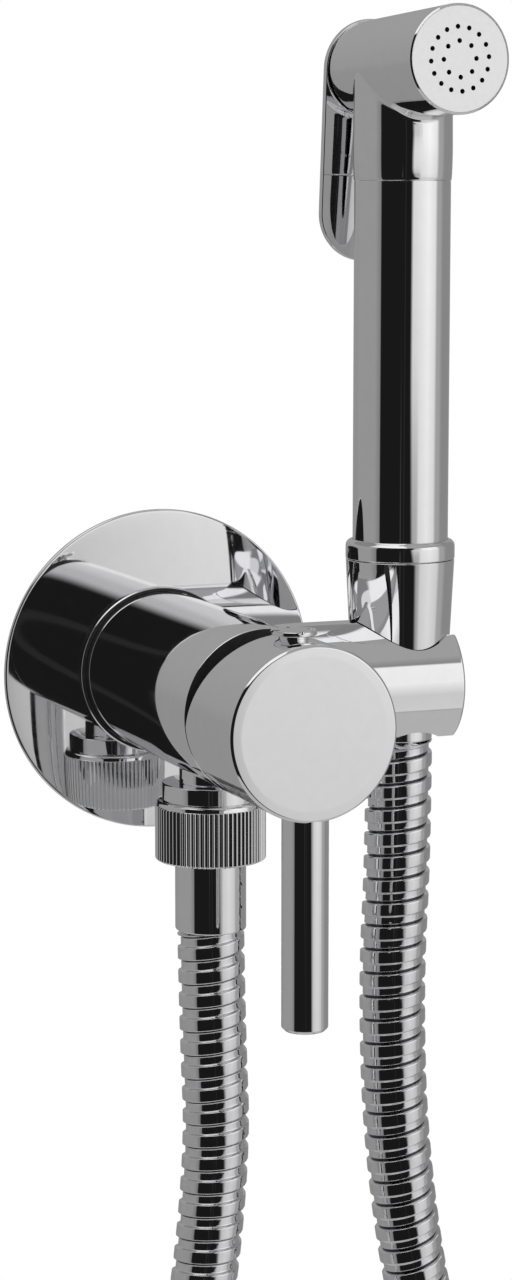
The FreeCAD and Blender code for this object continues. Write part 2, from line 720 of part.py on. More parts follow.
def outlet():
    """Threaded outlet under the body, its valve and washer, and the hose's nut and sleeve."""
    at = (0, -d.outlet_station)
    collar_low = collar_top + d.collar_height
    thread_low = collar_low + d.thread_length
    valve_top = thread_low - d.valve_length
    profile = (
        (d.water_bore, -outlet_socket),
        (d.outlet_neck, -outlet_socket),
        (d.outlet_neck, -collar_top),
        (d.collar_radius, -collar_top),
        (d.collar_radius, -collar_low),
        (d.thread_radius, -collar_low),
        (d.thread_radius, -thread_low),
        (d.valve_bore, -thread_low),
        (d.valve_bore, -valve_top),
        (d.water_bore, -valve_top),
    )
    node("outlet_nipple", turned("nipple", profile, "up", at))
    valve_outer = d.valve_bore - d.running_gap
    valve_low = thread_low - d.seat_gap
    valve_profile = (
        (d.check_bore, -valve_top),
        (valve_outer, -valve_top),
        (valve_outer, -valve_low),
        (d.water_bore, -valve_low),
        (d.water_bore, -valve_top - d.check_bore),
        (d.check_bore, -valve_top - d.check_bore),
    )
    node("outlet_check_valve", turned("outlet_valve", valve_profile, "up", at))
    washer_low = thread_low + d.washer_thickness
    node("hose_washer_lower",
         ring("lower_washer", d.hose_bore, d.flange_radius, -thread_low, -washer_low, "up", at))

    nut_top = collar_low + d.seat_gap
    nut_low = nut_top + d.hose_nut_length
    lip_top = nut_low - d.hose_nut_lip
    flange_low = lip_top - d.seat_gap
    sleeve_profile = (
        (d.hose_bore, -washer_low),
        (d.flange_radius, -washer_low),
        (d.flange_radius, -flange_low),
        (d.sleeve_radius, -flange_low),
        (d.sleeve_radius, -d.sleeve_end + d.body_bevel),
        (d.sleeve_radius - d.body_bevel, -d.sleeve_end),
        (d.hose_bore, -d.sleeve_end),
    )
    node("hose_ferrule_lower", turned("lower_sleeve", sleeve_profile, "up", at))

    lip_radius = d.hose_nut_radius - d.flute_depth
    nut_profile = (
        (d.thread_radius + d.running_gap, -nut_top),
        (lip_radius - d.hose_nut_chamfer, -nut_top),
        (lip_radius, -nut_top - d.hose_nut_lip),
        (d.hose_nut_radius, -nut_top - d.hose_nut_lip),
        (d.hose_nut_radius, -nut_low + d.body_bevel),
        (d.hose_nut_radius - d.body_bevel, -nut_low),
        (d.sleeve_radius + d.running_gap, -nut_low),
        (d.sleeve_radius + d.running_gap, -lip_top),
        (d.thread_radius + d.running_gap, -lip_top),
    )
    nut = turned("knurled_nut", nut_profile, "up", at)
    flute = outline(nut, "flute_outline", "XY_Plane",
                    ((d.hose_nut_radius - d.flute_depth, 0),
                     (d.hose_nut_radius + d.flute_depth, -d.flute_half_width * 2),
                     (d.hose_nut_radius + d.flute_depth, d.flute_half_width * 2)))
    groove = nut.newObject("PartDesign::Pocket", "flute")
    groove.Profile = flute
    groove.Type = "ThroughAll"
    flutes = nut.newObject("PartDesign::PolarPattern", "flutes")
    flutes.Originals = [groove]
    flutes.Axis = (flute, ["N_Axis"])
    flutes.Angle = 360
    flutes.Occurrences = int(d.flute_count.number)
    flutes.setExpression("Occurrences", d.flute_count.text)
    nut.Tip = flutes
    node("hose_nut", nut)


def arm():
    """Side arm with a stepped hole and an open slot, and the plastic seat in it."""
    spigot_start = d.body_radius - d.arm_spigot_length + d.seat_gap
    rod_start = d.body_radius / 2
    arm_at = (-d.arm_station, 0)
    profile = (
        (0, spigot_start),
        (d.arm_spigot, spigot_start),
        (d.arm_spigot, d.body_radius),
        (0, d.body_radius),
    )
    spigot = turned("spigot", profile, "side", arm_at)
    rod_profile = (
        (0, rod_start),
        (d.arm_radius, rod_start),
        (d.arm_radius, d.arm_end - d.arm_bevel),
        (d.arm_radius - d.arm_bevel, d.arm_end),
        (0, d.arm_end),
    )
    rod = turned("arm_rod", rod_profile, "side", arm_at)
    saddle = cylinder("saddle", d.body_radius, "front", 0, d.body_length)
    saddled = cut("saddled_arm", rod, saddle)
    solid = fuse("arm_with_spigot", saddled, spigot)
    hole_at = (d.holder_offset, -d.arm_station)
    hole_reach = d.arm_radius + OVERRUN
    seat_length = d.liner_bottom + hole_reach
    seat = cylinder("holder_seat", d.holder_radius, "up", -d.liner_bottom, seat_length, hole_at)
    passage_radius = cone_radius_at(-d.liner_bottom) + d.seat_gap
    passage = cylinder("holder_passage", passage_radius, "up", -hole_reach, hole_reach * 2, hole_at)
    slot = box("holder_slot",
               (d.holder_offset, -d.arm_station - d.slot_half_width, -hole_reach),
               (d.arm_end + OVERRUN, -d.arm_station + d.slot_half_width, hole_reach))
    node("holder_arm", cut("arm", solid, seat, passage, slot))

    outer = d.holder_radius - d.running_gap
    liner_profile = (
        (cone_radius_at(-d.liner_bottom) + d.seat_gap, -d.liner_bottom),
        (outer, -d.liner_bottom),
        (outer, d.liner_top),
        (cone_radius_at(d.liner_top) + d.seat_gap, d.liner_top),
    )
    bush = turned("liner_blank", liner_profile, "up", hole_at)
    mouth_side = d.slot_half_width + d.seat_gap
    mouth = box("liner_mouth",
                (d.holder_offset, -d.arm_station - mouth_side, -d.arm_radius),
                (d.holder_offset + d.holder_radius, -d.arm_station + mouth_side, d.arm_radius))
    node("holder_liner", cut("liner", bush, mouth))


def cone_radius_at(height):
    """Outer radius of the conical nut at a height above the middle."""
    return d.cone_radius - (d.cone_top - height) * d.cone_taper


def hose_end():
    """Upper sleeve of the hose, its washer, and the conical nut that holds them."""
    at = (d.holder_offset, -d.arm_station)
    flange_top = d.flange_seat + d.sleeve_flange
    washer_top = flange_top + d.washer_thickness
    sleeve_profile = (
        (d.hose_bore, -d.upper_sleeve_end),
        (d.upper_sleeve_radius, -d.upper_sleeve_end),
        (d.upper_sleeve_radius, d.flange_seat),
        (d.flange_radius, d.flange_seat),
        (d.flange_radius, flange_top),
        (d.hose_bore, flange_top),
    )
    node("hose_ferrule_upper", turned("upper_sleeve", sleeve_profile, "up", at))
    node("hose_washer_upper",
         ring("upper_washer", d.hose_bore, d.flange_radius, flange_top + d.running_gap, washer_top, "up", at))
    seat = d.flange_seat - d.running_gap
    thread_start = washer_top - d.seat_gap
    thread = d.thread_radius + d.running_gap
    nut_profile = (
        (d.upper_sleeve_radius + d.running_gap, -d.cone_bottom),
        (cone_radius_at(-d.cone_bottom), -d.cone_bottom),
        (cone_radius_at(d.cone_top - d.body_bevel), d.cone_top - d.body_bevel),
        (d.cone_radius - d.body_bevel, d.cone_top),
        (thread, d.cone_top),
        (thread, thread_start),
        (d.flange_radius + d.seat_gap, thread_start),
        (d.flange_radius + d.seat_gap, seat),
        (d.upper_sleeve_radius + d.running_gap, seat),
    )
    node("cone_nut", turned("conical_nut", nut_profile, "up", at))


def hand_shower():
    """Tube with its threaded end and end ring, and the head with its chambers."""
    at = (d.holder_offset, -d.arm_station)
    washer_top = d.flange_seat + d.sleeve_flange + d.washer_thickness
    ring_low = d.cone_top + d.seat_gap
    spigot_low = d.tube_top - d.spigot_length
    spigot_bore = d.spigot_radius + d.running_gap
    tube_profile = (
        (d.tube_bore, washer_top),
        (d.thread_radius - d.running_gap, washer_top),
        (d.thread_radius - d.running_gap, ring_low),
        (d.tube_radius, ring_low),
        (d.tube_radius, d.tube_top),
        (spigot_bore, d.tube_top),
        (spigot_bore, spigot_low),
        (d.tube_bore, spigot_low),
    )
    node("handset_tube", turned("tube", tube_profile, "up", at))
    ring_bore = d.tube_radius + d.running_gap
    ring_profile = (
        (ring_bore, ring_low),
        (d.ring_radius - d.body_bevel, ring_low),
        (d.ring_radius, ring_low + d.body_bevel),
        (d.ring_radius, d.ring_shoulder),
        (d.ring_crown_radius, d.ring_crown),
        (d.ring_small_radius, d.ring_top),
        (ring_bore, d.ring_top),
    )
    node("tube_end_ring", turned("end_ring", ring_profile, "up", at))

    head_at = (d.holder_offset, d.head_height)
    shell_profile = (
        (0, d.head_back),
        (d.head_back_radius - d.head_bevel, d.head_back),
        (d.head_back_radius, d.head_back + d.head_bevel),
        (d.head_front_radius, d.head_front - d.head_bevel),
        (d.head_front_radius - d.head_bevel, d.head_front),
        (0, d.head_front),
    )
    shell = turned("head_shell", shell_profile, "front", head_at)
    neck_profile = (
        (0, spigot_low + d.seat_gap),
        (d.spigot_radius, spigot_low + d.seat_gap),
        (d.spigot_radius, d.tube_top + d.running_gap),
        (d.tube_radius, d.tube_top + d.running_gap),
        (d.head_neck_radius, d.tube_top + d.neck_flare),
        (d.head_neck_radius, d.head_height),
        (0, d.head_height),
    )
    neck = turned("head_neck", neck_profile, "up", at)
    solid = fuse("head_solid", shell, neck)
    valve_at = (d.holder_offset, d.head_height - d.valve_drop)
    seat_front = d.seat_station + d.seat_thickness
    face_back = d.head_front - d.face_inset - d.face_thickness
    gasket_back = face_back - d.face_gasket
    rear_length = d.seat_station - d.gland_end
    neck_length = d.head_height - spigot_low
    hinge_station = d.head_back + d.hinge_inset
    hinge_at = (-hinge_station, d.head_height + d.hinge_height)
    lug_low = d.head_height + d.hinge_height - d.lug_radius - d.moving_gap
    lug_high = d.head_height + d.hinge_height + d.lug_radius + d.moving_gap
    lug_reach = hinge_station + d.lug_radius + d.moving_gap
    lug_side = d.lug_half_width + d.moving_gap
    tools = (
        cylinder("face_recess", d.face_radius + d.running_gap, "front", gasket_back,
                 d.head_front - gasket_back + OVERRUN, head_at),
        cylinder("front_chamber", d.face_chamber, "front", seat_front, d.head_front - seat_front, head_at),
        cylinder("seat_hole", d.seat_radius, "front", d.gland_end, d.head_front - d.gland_end, valve_at),
        cylinder("rear_room", d.rear_chamber, "front", d.gland_end, rear_length, valve_at),
        cylinder("gland_hole", d.gland_radius, "front", d.head_back - OVERRUN,
                 d.gland_end - d.head_back + OVERRUN * 2, valve_at),
        cylinder("neck_way", d.neck_bore, "up", spigot_low, neck_length - d.valve_drop, at),
        box("lug_recess",
            (d.holder_offset - lug_side, -lug_reach, lug_low),
            (d.holder_offset + lug_side, -d.head_back + OVERRUN, lug_high)),
        cylinder("hinge_hole", d.hinge_pin_radius, "side", d.holder_offset - d.hinge_pin_near,
                 d.hinge_pin_near + d.head_back_radius, hinge_at),
    )
    node("handset_head", cut("head", solid, *tools))
    node("lever_pin",
         cylinder("hinge_pin", d.hinge_pin_radius, "side", d.holder_offset - d.hinge_pin_near,
                  d.hinge_pin_near + d.hinge_pin_far, hinge_at))
    node("spray_gasket",
         ring("face_seal", d.face_chamber, d.face_radius, gasket_back, face_back, "front", head_at))
    spray_face(face_back, head_at)
    trigger_valve(seat_front, valve_at)
    paddle(hinge_station)


def spray_face(back, at):
    """Round face with two rings of holes."""
    front = back + d.face_thickness
    face = turned("face", ((0, back), (d.face_radius, back), (d.face_radius, front), (0, front)), "front", at)
    rings = (
        ("outer", d.outer_ring, d.outer_holes, d.outer_phase),
        ("inner", d.inner_ring, d.inner_holes, d.inner_phase),
    )
    for name, radius, count, phase in rings:
        centre = (-radius * sine(phase), radius * cosine(phase))
        sketch = face.newObject("Sketcher::SketchObject", name + "_hole")
        sketch.AttachmentSupport = (plane_of(face, "XY_Plane"), [""])
        sketch.MapMode = "FlatFace"
        middle = Vector(centre[0].number, centre[1].number, 0)
        sketch.addGeometry(Part.Circle(middle, Vector(0, 0, 1), d.spray_hole.number), False)
        for kind, size in zip(("DistanceX", "DistanceY"), centre):
            place = sketch.addConstraint(Sketcher.Constraint(kind, -1, 1, 0, 3, size.number))
            sketch.setExpression("Constraints[%d]" % place, size.text)
        place = sketch.addConstraint(Sketcher.Constraint("Radius", 0, d.spray_hole.number))
        sketch.setExpression("Constraints[%d]" % place, d.spray_hole.text)
        hole = face.newObject("PartDesign::Pocket", name + "_holes")
        hole.Profile = sketch
        hole.Type = "ThroughAll"
        hole.Reversed = True
        pattern = face.newObject("PartDesign::PolarPattern", name + "_pattern")
        pattern.Originals = [hole]
        pattern.Axis = (sketch, ["N_Axis"])
        pattern.Angle = 360
        pattern.Occurrences = int(count.number)
        pattern.setExpression("Occurrences", count.text)
        face.Tip = pattern
    node("spray_face", face)


def trigger_valve(seat_front, at):
    """Gland, spring, plunger and washer of the valve that the paddle opens."""
    gland_back = d.head_back + d.gland_inset
    pocket_front = d.gland_end - d.gland_wall
    gland_outer = d.gland_radius - d.running_gap
    plunger_bore = d.plunger_radius + d.running_gap
    gland_profile = (
        (d.spring_pocket, gland_back),
        (gland_outer, gland_back),
        (gland_outer, d.gland_end),
        (plunger_bore, d.gland_end),
        (plunger_bore, pocket_front),
        (d.spring_pocket, pocket_front),
    )
    node("valve_gland", turned("gland", gland_profile, "front", at))
    washer_back = seat_front + d.running_gap
    disc_back = washer_back + d.valve_washer_length
    disc_front = disc_back + d.valve_disc_length
    paddle_back = d.head_back - d.paddle_gap
    highest = d.hinge_height + d.valve_drop - d.button_radius
    button_back = paddle_back - highest * tangent(d.paddle_tilt) + d.moving_gap
    button_front = button_back + d.button_length
    plunger_profile = (
        (0, button_back),
        (d.button_radius, button_back),
        (d.button_radius, button_front),
        (d.plunger_radius, button_front),
        (d.plunger_radius, disc_back),
        (d.valve_disc_radius, disc_back),
        (d.valve_disc_radius, disc_front),
        (0, disc_front),
    )
    node("valve_plunger", turned("plunger", plunger_profile, "front", at))
    node("valve_washer",
         ring("plunger_washer", d.plunger_radius + d.running_gap, d.valve_disc_radius, washer_back, disc_back,
              "front", at))
    wire_low = button_front.number + d.spring_wire.number + d.running_gap.number
    wire_high = pocket_front.number - d.spring_wire.number - d.running_gap.number
    centre = Vector(at[0].number, 0, at[1].number)
    spring = doc.addObject("Part::Feature", "spring")
    spring.Shape = coil(centre, wire_low, wire_high)
    node("valve_spring", spring)


def coil(centre, low, high):
    """A coil spring along -Y: quarter turns of arc, each through a point of the helix."""
    turns = int(d.spring_turns.number)
    quarters = turns * 4
    radius = d.spring_mean.number

    def point(quarter):
        angle = quarter * math.pi / 2
        station = low + (high - low) * quarter / quarters
        return centre + Vector(radius * math.cos(angle), -station, radius * math.sin(angle))

    edges = [Part.Arc(point(index), point(index + 0.5), point(index + 1)).toShape()
             for index in range(quarters)]
    path = Part.Wire(edges)
    heading = edges[0].tangentAt(edges[0].FirstParameter)
    section = Part.Wire(Part.makeCircle(d.spring_wire.number, point(0), heading))
    return path.makePipeShell([section], True, False)


def paddle(hinge_station):
    """Long rounded plate behind the head, tilted about its hinge, with the lug of the hinge."""
    hinge_z = d.head_height + d.hinge_height
    inner = d.head_back - d.paddle_gap
    centre_low = d.head_height - d.paddle_drop + d.paddle_half_width
    centre_high = d.head_height + d.paddle_rise - d.paddle_half_width
    offset = hinge_station - inner
    back = -offset - d.paddle_thickness
    plate = box("paddle_plate",
                (-d.paddle_half_width, offset, centre_low - hinge_z),
                (d.paddle_half_width, offset + d.paddle_thickness, centre_high - hinge_z))
    low_end = cylinder("paddle_low_end", d.paddle_half_width, "front", back, d.paddle_thickness,
                       (0, centre_low - hinge_z))
    high_end = cylinder("paddle_high_end", d.paddle_half_width, "front", back, d.paddle_thickness,
                        (0, centre_high - hinge_z))
    web = box("paddle_web",
              (-d.lug_half_width, 0, -d.lug_half_height),
              (d.lug_half_width, offset + d.paddle_thickness / 2, d.lug_half_height))
    eye = cylinder("paddle_eye", d.lug_radius, "side", -d.lug_half_width, d.lug_half_width * 2)
    bore = cylinder("paddle_bore", d.hinge_pin_radius + d.running_gap, "side", -d.paddle_half_width,
                    d.paddle_half_width * 2)
    solid = fuse("paddle_solid", plate, low_end, high_end, web, eye)
    lever = cut("paddle", solid, bore)
    lever.Placement = Placement(
        Vector(d.holder_offset.number, -hinge_station.number, hinge_z.number),
        Rotation(Vector(1, 0, 0), d.paddle_tilt.number))
    lever.setExpression("Placement.Base.x", d.holder_offset.text)
    lever.setExpression("Placement.Base.y", (-hinge_station).text)
    lever.setExpression("Placement.Base.z", hinge_z.text)
    lever.setExpression("Placement.Rotation.Angle", d.paddle_tilt.text)
    node("thumb_lever", lever)


class Route:
    """Straight runs joined by tangent arcs, each arc as large as its two runs allow."""

    def __init__(self, points):
        corners = [Vector(*point) for point in points]
        self.pieces = []
        self.radii = []
        here = corners[0]
        for index in range(1, len(corners) - 1):
            before, corner, after = corners[index - 1:index + 2]
            into = (corner - before).normalize()
            out = (after - corner).normalize()
            half_turn = into.getAngle(out) / 2
            shorter = min((corner - before).Length, (after - corner).Length)
            reach = 0.45 * shorter
            radius = reach / math.tan(half_turn)
            start = corner - into * reach
            end = corner + out * reach
            self.radii.append(radius)
            self.pieces.append(("run", here, start, into, 0.0))
            self.pieces.append(("arc", start, end, into, radius))
            here = end
        last = (corners[-1] - here).normalize()
        self.pieces.append(("run", here, corners[-1], last, 0.0))
        self.lengths = [self._length(piece, index) for index, piece in enumerate(self.pieces)]

    def _turn(self, index):
        into = self.pieces[index][3]
        out = self.pieces[index + 1][3]
        return into, out, into.getAngle(out)

    def _length(self, piece, index):
        if piece[0] == "run":
            return (piece[2] - piece[1]).Length
        return piece[4] * self._turn(index)[2]

    def length(self):
        return sum(self.lengths)

    def ends(self):
        """Distances along the route at which a run ends or an arc ends."""
        total = 0.0
        marks = [0.0]
        for length in self.lengths:
            total += length
            marks.append(total)
        return marks

    def at(self, distance):
        """Point and direction at a distance along the route."""
        for index, (piece, length) in enumerate(zip(self.pieces, self.lengths)):
            if distance > length and index < len(self.pieces) - 1:
                distance -= length
                continue
            kind, start, end, into, radius = piece
            if kind == "run":
                return start + into * distance, into
            _, out, whole = self._turn(index)
            angle = distance / radius
            side = (out - into * math.cos(whole)).normalize()
            point = start + into * (radius * math.sin(angle)) + side * (radius * (1 - math.cos(angle)))
            return point, into * math.cos(angle) + side * math.sin(angle)
        return None


def ring_wire(route, distance, radius):
    """A circle square to the route, its X axis kept near the front direction."""
    point, forward = route.at(distance)
    steady = Vector(0, -1, 0)
    across = (steady - forward * steady.dot(forward)).normalize()
    other = forward.cross(across)
    circle = Part.makeCircle(radius)
    circle.Placement = Placement(point, Rotation(across, other, forward, "ZXY"))
    return Part.Wire(circle)


def hose():
    """Corrugated hose: ribs outside, smooth bore inside, straight plain ends."""
    route = Route(HOSE_ROUTE)
    crest = d.hose_radius.number
    groove = crest - d.groove_depth.number
    plain = crest * 2
    count = int(d.rib_count.number)
    ribbed = route.length() - 2 * plain
    pitch = ribbed / count
    ramp = d.rib_ramp.number * pitch
    flat = d.rib_groove.number * pitch
    marks = [(0.0, crest)]
    for index in range(count):
        start = plain + index * pitch
        marks.append((start, crest))
        marks.append((start + ramp, groove))
        marks.append((start + ramp + flat, groove))
        marks.append((start + flat + 2 * ramp, crest))
    marks.append((route.length() - plain, crest))
    marks.append((route.length(), crest))
    outside = Part.makeLoft([ring_wire(route, place, radius) for place, radius in marks], True, True)
    bore_radius = d.hose_bore.number
    bore_places = []
    for low, high in zip(route.ends(), route.ends()[1:]):
        bore_places += [low, (low + high) / 2]
    bore_places.append(route.length())
    bore = Part.makeLoft([ring_wire(route, place, bore_radius) for place in bore_places], True, True)
    solid = outside.cut(bore)
    tube = doc.addObject("Part::Feature", "ribbed_hose")
    tube.Shape = solid
    node("bidet_hose", tube)
    crest_share = 1 - d.rib_groove.number - d.rib_ramp.number
    mean_square = crest_share * crest ** 2 + (1 - crest_share) * groove ** 2
    expected = math.pi * (mean_square - bore_radius ** 2) * route.length()
    print("hose length %.1f mm, radii %s" % (route.length(), ", ".join("%.0f" % r for r in route.radii)))
    print("hose volume %.0f, section times length %.0f" % (solid.Volume, expected))


wall_plate()
mixer_body()
cartridge()
handle()
outlet()
arm()
hose_end()
hand_shower()
hose()
doc.recompute()

for obj in doc.Objects:
    if "Invalid" in obj.State or "Error" in obj.State:
        raise RuntimeError("%s failed: %s" % (obj.Label, obj.State))
for name, obj in nodes.items():
    if obj.Shape.isNull() or not obj.Shape.isValid():
        raise RuntimeError("%s has no valid shape" % name)
    if not obj.Shape.Solids:
        raise RuntimeError("%s holds no solid" % name)

os.makedirs("parts", exist_ok=True)
for name, obj in nodes.items():
    obj.Shape.exportStep("parts/%s.step" % name)
print("%d pieces written" % len(nodes))
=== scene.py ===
# %% [markdown]
# # Bidet shower mixer
# A wall mixer of polished chrome: a round plate, a round body with a turning handle, a side arm
# that holds a hand shower, and a corrugated hose. The construction model is loaded first as a
# fixed frame. Each piece made below sits on that frame, so nothing has to be fitted by eye.

# %% Load the frame
import math

import bmesh
import bpy
from mathutils import Matrix, Vector

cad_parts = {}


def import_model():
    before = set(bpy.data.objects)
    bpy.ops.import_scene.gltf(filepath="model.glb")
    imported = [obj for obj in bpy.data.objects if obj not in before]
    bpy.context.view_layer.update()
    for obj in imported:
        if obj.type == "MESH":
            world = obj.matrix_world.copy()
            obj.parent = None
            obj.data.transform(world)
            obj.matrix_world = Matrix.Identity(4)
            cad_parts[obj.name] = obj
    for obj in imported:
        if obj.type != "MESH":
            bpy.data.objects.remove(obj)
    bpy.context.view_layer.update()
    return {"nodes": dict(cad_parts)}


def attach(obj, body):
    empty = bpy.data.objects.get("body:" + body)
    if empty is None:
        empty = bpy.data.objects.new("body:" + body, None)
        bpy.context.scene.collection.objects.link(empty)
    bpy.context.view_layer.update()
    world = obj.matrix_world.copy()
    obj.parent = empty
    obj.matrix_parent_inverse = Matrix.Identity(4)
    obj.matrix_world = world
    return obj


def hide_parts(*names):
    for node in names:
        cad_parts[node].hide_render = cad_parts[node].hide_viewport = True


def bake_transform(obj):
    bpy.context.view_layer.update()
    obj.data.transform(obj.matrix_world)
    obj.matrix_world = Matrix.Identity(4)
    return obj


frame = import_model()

MM = 0.001
print("frame nodes:", len(frame["nodes"]))

# %% [markdown]
# ## Camera
# The picture was taken with a long lens from the left and slightly above. The place, the angle
# and the lens were solved from the ellipses of the plate, the handle and the tube, because round
# things show the viewing angle very clearly. It comes first, since the hose is judged from it.

# %% Camera
CAMERA_PLACE = (-0.2235, -0.6332, 0.1026)
CAMERA_PITCH_DOWN = 8.157
CAMERA_YAW = 21.43
CAMERA_LENS = 82.5
CAMERA_SENSOR = 36.0

camera_data = bpy.data.cameras.new("camera")
camera_data.sensor_fit = "VERTICAL"
camera_data.sensor_height = CAMERA_SENSOR
camera_data.sensor_width = CAMERA_SENSOR
camera_data.lens = CAMERA_LENS
camera_data.clip_start = 0.01
camera_data.clip_end = 50.0
camera = bpy.data.objects.new("camera", camera_data)
camera.location = CAMERA_PLACE
camera.rotation_euler = (math.radians(90 - CAMERA_PITCH_DOWN), 0, math.radians(-CAMERA_YAW))
bpy.context.scene.collection.objects.link(camera)
bpy.context.scene.camera = camera
print("camera at", CAMERA_PLACE)

# %% [markdown]
# ## Nodes in one call
# Finishes, the studio and everything that repeats are trees of nodes. One helper makes a node,
# sets it and links it, so that a tree reads like a list of what it does.

# %% Node helper
def add_node(tree, kind, settings=None, **links):
    """A node; a link's key is an input's name or its number after an n, its value may be a node."""
    made = tree.nodes.new(kind)
    for key, value in (settings or {}).items():
        setattr(made, key, value)
    for key, value in links.items():
        number = key[1:]
        place = int(number) if key[0] == "n" and number.isdigit() else key.replace("_", " ")
        socket = made.inputs[place]
        if isinstance(value, bpy.types.Node):
            value = value.outputs[0]
        if isinstance(value, bpy.types.NodeSocket):
            tree.links.new(value, socket)
        else:
            socket.default_value = value
    return made


# %% [markdown]
# ## Grain that every finish shares
# No real surface is even. Polished metal has faint polishing marks, moulded plastic a fine
# orange peel, rubber a dull grain. All of these are noise at some size, so one shader node group
# makes it, and each finish puts in its own size and its own limits. The group only puts out
# values that vary over the surface; the shader itself stays in the material.

# %% Grain group
grain = bpy.data.node_groups.new("surface_grain", "ShaderNodeTree")
for title, default in (("Grain Per Metre", 400.0), ("Smoothest", 0.03), ("Roughest", 0.08)):
    socket = grain.interface.new_socket(title, in_out="INPUT", socket_type="NodeSocketFloat")
    socket.default_value = default
for title in ("Roughness", "Height", "Mask"):
    grain.interface.new_socket(title, in_out="OUTPUT", socket_type="NodeSocketFloat")
asked = grain.nodes.new("NodeGroupInput").outputs
NOISE_RANGE = {"From_Min": 0.35, "From_Max": 0.65}
place = add_node(grain, "ShaderNodeTexCoord").outputs["Object"]
noise = add_node(grain, "ShaderNodeTexNoise", Vector=place, Scale=asked["Grain Per Metre"],
                 Detail=4.0, Roughness=0.55).outputs["Fac"]
gloss = add_node(grain, "ShaderNodeMapRange", Value=noise, **NOISE_RANGE,
                 To_Min=asked["Smoothest"], To_Max=asked["Roughest"])
mask = add_node(grain, "ShaderNodeMapRange", Value=noise, **NOISE_RANGE)
add_node(grain, "NodeGroupOutput", Roughness=gloss.outputs["Result"], Height=noise,
         Mask=mask.outputs["Result"])
print("group:", grain.name)

# %% [markdown]
# ## Finishes
# Chrome plate is nearly a mirror: metallic, very smooth, with a faint variation in gloss. The
# hidden pieces are brass, steel, white ceramic, dark and white plastic, rubber and foam. Each
# finish mixes two close colours by the grain's mask, takes its gloss from the grain, and lets
# the grain raise the surface a little.

# %% Finish maker
def mixed_colour(tree, factor, first, second):
    """A mix of two colours, each a value or a socket."""
    made = add_node(tree, "ShaderNodeMix", {"data_type": "RGBA"}, Factor=factor, A=first, B=second)
    return made.outputs["Result"]


def finish(name, light, dark, metallic, smoothest, roughest, per_metre, bump=0.0, coat=0.0):
    """A finish whose colour, gloss and relief all vary with the shared grain."""
    material = bpy.data.materials.new(name)
    material.use_nodes = True
    tree = material.node_tree
    shader = tree.nodes["Principled BSDF"].inputs
    shader["Metallic"].default_value = metallic
    shader["Coat Weight"].default_value = coat
    varied = add_node(tree, "ShaderNodeGroup", {"node_tree": grain}, Grain_Per_Metre=per_metre,
                      Smoothest=smoothest, Roughest=roughest).outputs
    colour = mixed_colour(tree, varied["Mask"], (*light, 1.0), (*dark, 1.0))
    tree.links.new(colour, shader["Base Color"])
    tree.links.new(varied["Roughness"], shader["Roughness"])
    if bump:
        relief = add_node(tree, "ShaderNodeBump", Strength=1.0, Distance=bump, Height=varied["Height"])
        tree.links.new(relief.outputs["Normal"], shader["Normal"])
    return material


# %% Finishes
polished_chrome = finish("polished_chrome", (0.93, 0.93, 0.94), (0.91, 0.91, 0.92), 1.0, 0.015, 0.04, 300)
hose_chrome = finish("hose_chrome", (0.90, 0.90, 0.91), (0.84, 0.84, 0.86),
                     1.0, 0.03, 0.08, 500, bump=0.000004)
face_plastic = finish("spray_face_plastic", (0.80, 0.80, 0.81), (0.77, 0.77, 0.78),
                      0.0, 0.22, 0.32, 900, bump=0.000005, coat=0.3)
raw_brass = finish("turned_brass", (0.72, 0.52, 0.24), (0.60, 0.42, 0.18),
                   1.0, 0.22, 0.40, 700, bump=0.00001)
spring_steel = finish("spring_steel", (0.62, 0.62, 0.63), (0.50, 0.50, 0.52), 1.0, 0.18, 0.35, 900)
white_ceramic = finish("white_ceramic", (0.86, 0.85, 0.82), (0.82, 0.81, 0.78), 0.0, 0.08, 0.16, 300)
dark_plastic = finish("dark_plastic", (0.05, 0.05, 0.055), (0.035, 0.035, 0.04),
                      0.0, 0.35, 0.50, 1200, bump=0.00001)
white_plastic = finish("white_plastic", (0.78, 0.78, 0.76), (0.73, 0.73, 0.71),
                       0.0, 0.30, 0.45, 1200, bump=0.00001)
# painted shade: a near-black finish that stands in for the shade inside gaps and seams
gap_shade_black = finish("gap_shade_black", (0.02, 0.02, 0.022), (0.012, 0.012, 0.014),
                   0.0, 0.45, 0.60, 900, bump=0.00001)
black_rubber = finish("black_rubber", (0.035, 0.035, 0.035), (0.02, 0.02, 0.02),
                      0.0, 0.60, 0.80, 1500, bump=0.00002)
grey_foam = finish("grey_foam", (0.16, 0.16, 0.17), (0.09, 0.09, 0.10),
                   0.0, 0.85, 0.95, 1600, bump=0.0001)

print("finishes:", len(bpy.data.materials))

# %% [markdown]
# ## Painted shade in the hose's seams
# The seams between the turns of a metal hose lie in shade, and here that shade is painted. The
# hose made below carries how high each point stands, and the finish darkens towards the seams by
# that value.

# %% Painted seam shade
SEAM_SHADE_GREY = (0.10, 0.10, 0.105, 1.0)
SEAM_SHADE_RANGE = {"From_Min": 0.02, "From_Max": 0.20}
hose_tree = hose_chrome.node_tree
hose_colour = hose_tree.nodes["Principled BSDF"].inputs["Base Color"]
height_above_seam = add_node(hose_tree, "ShaderNodeAttribute", {"attribute_name": "strip_height"})
# painted shade: the hose's colour goes to dark grey towards the seams, for the shade that lies in them
out_of_seam = add_node(hose_tree, "ShaderNodeMapRange", Value=height_above_seam.outputs["Fac"], **SEAM_SHADE_RANGE)
bright = hose_colour.links[0].from_socket
hose_tree.links.new(mixed_colour(hose_tree, out_of_seam.outputs["Result"], SEAM_SHADE_GREY, bright), hose_colour)
print("seams:", hose_chrome.name)

# %% [markdown]
# ## Pieces that stay as they are
# The seals, valves and cartridge parts are hidden. Their construction solids are shown as they
# are, each in its own finish.

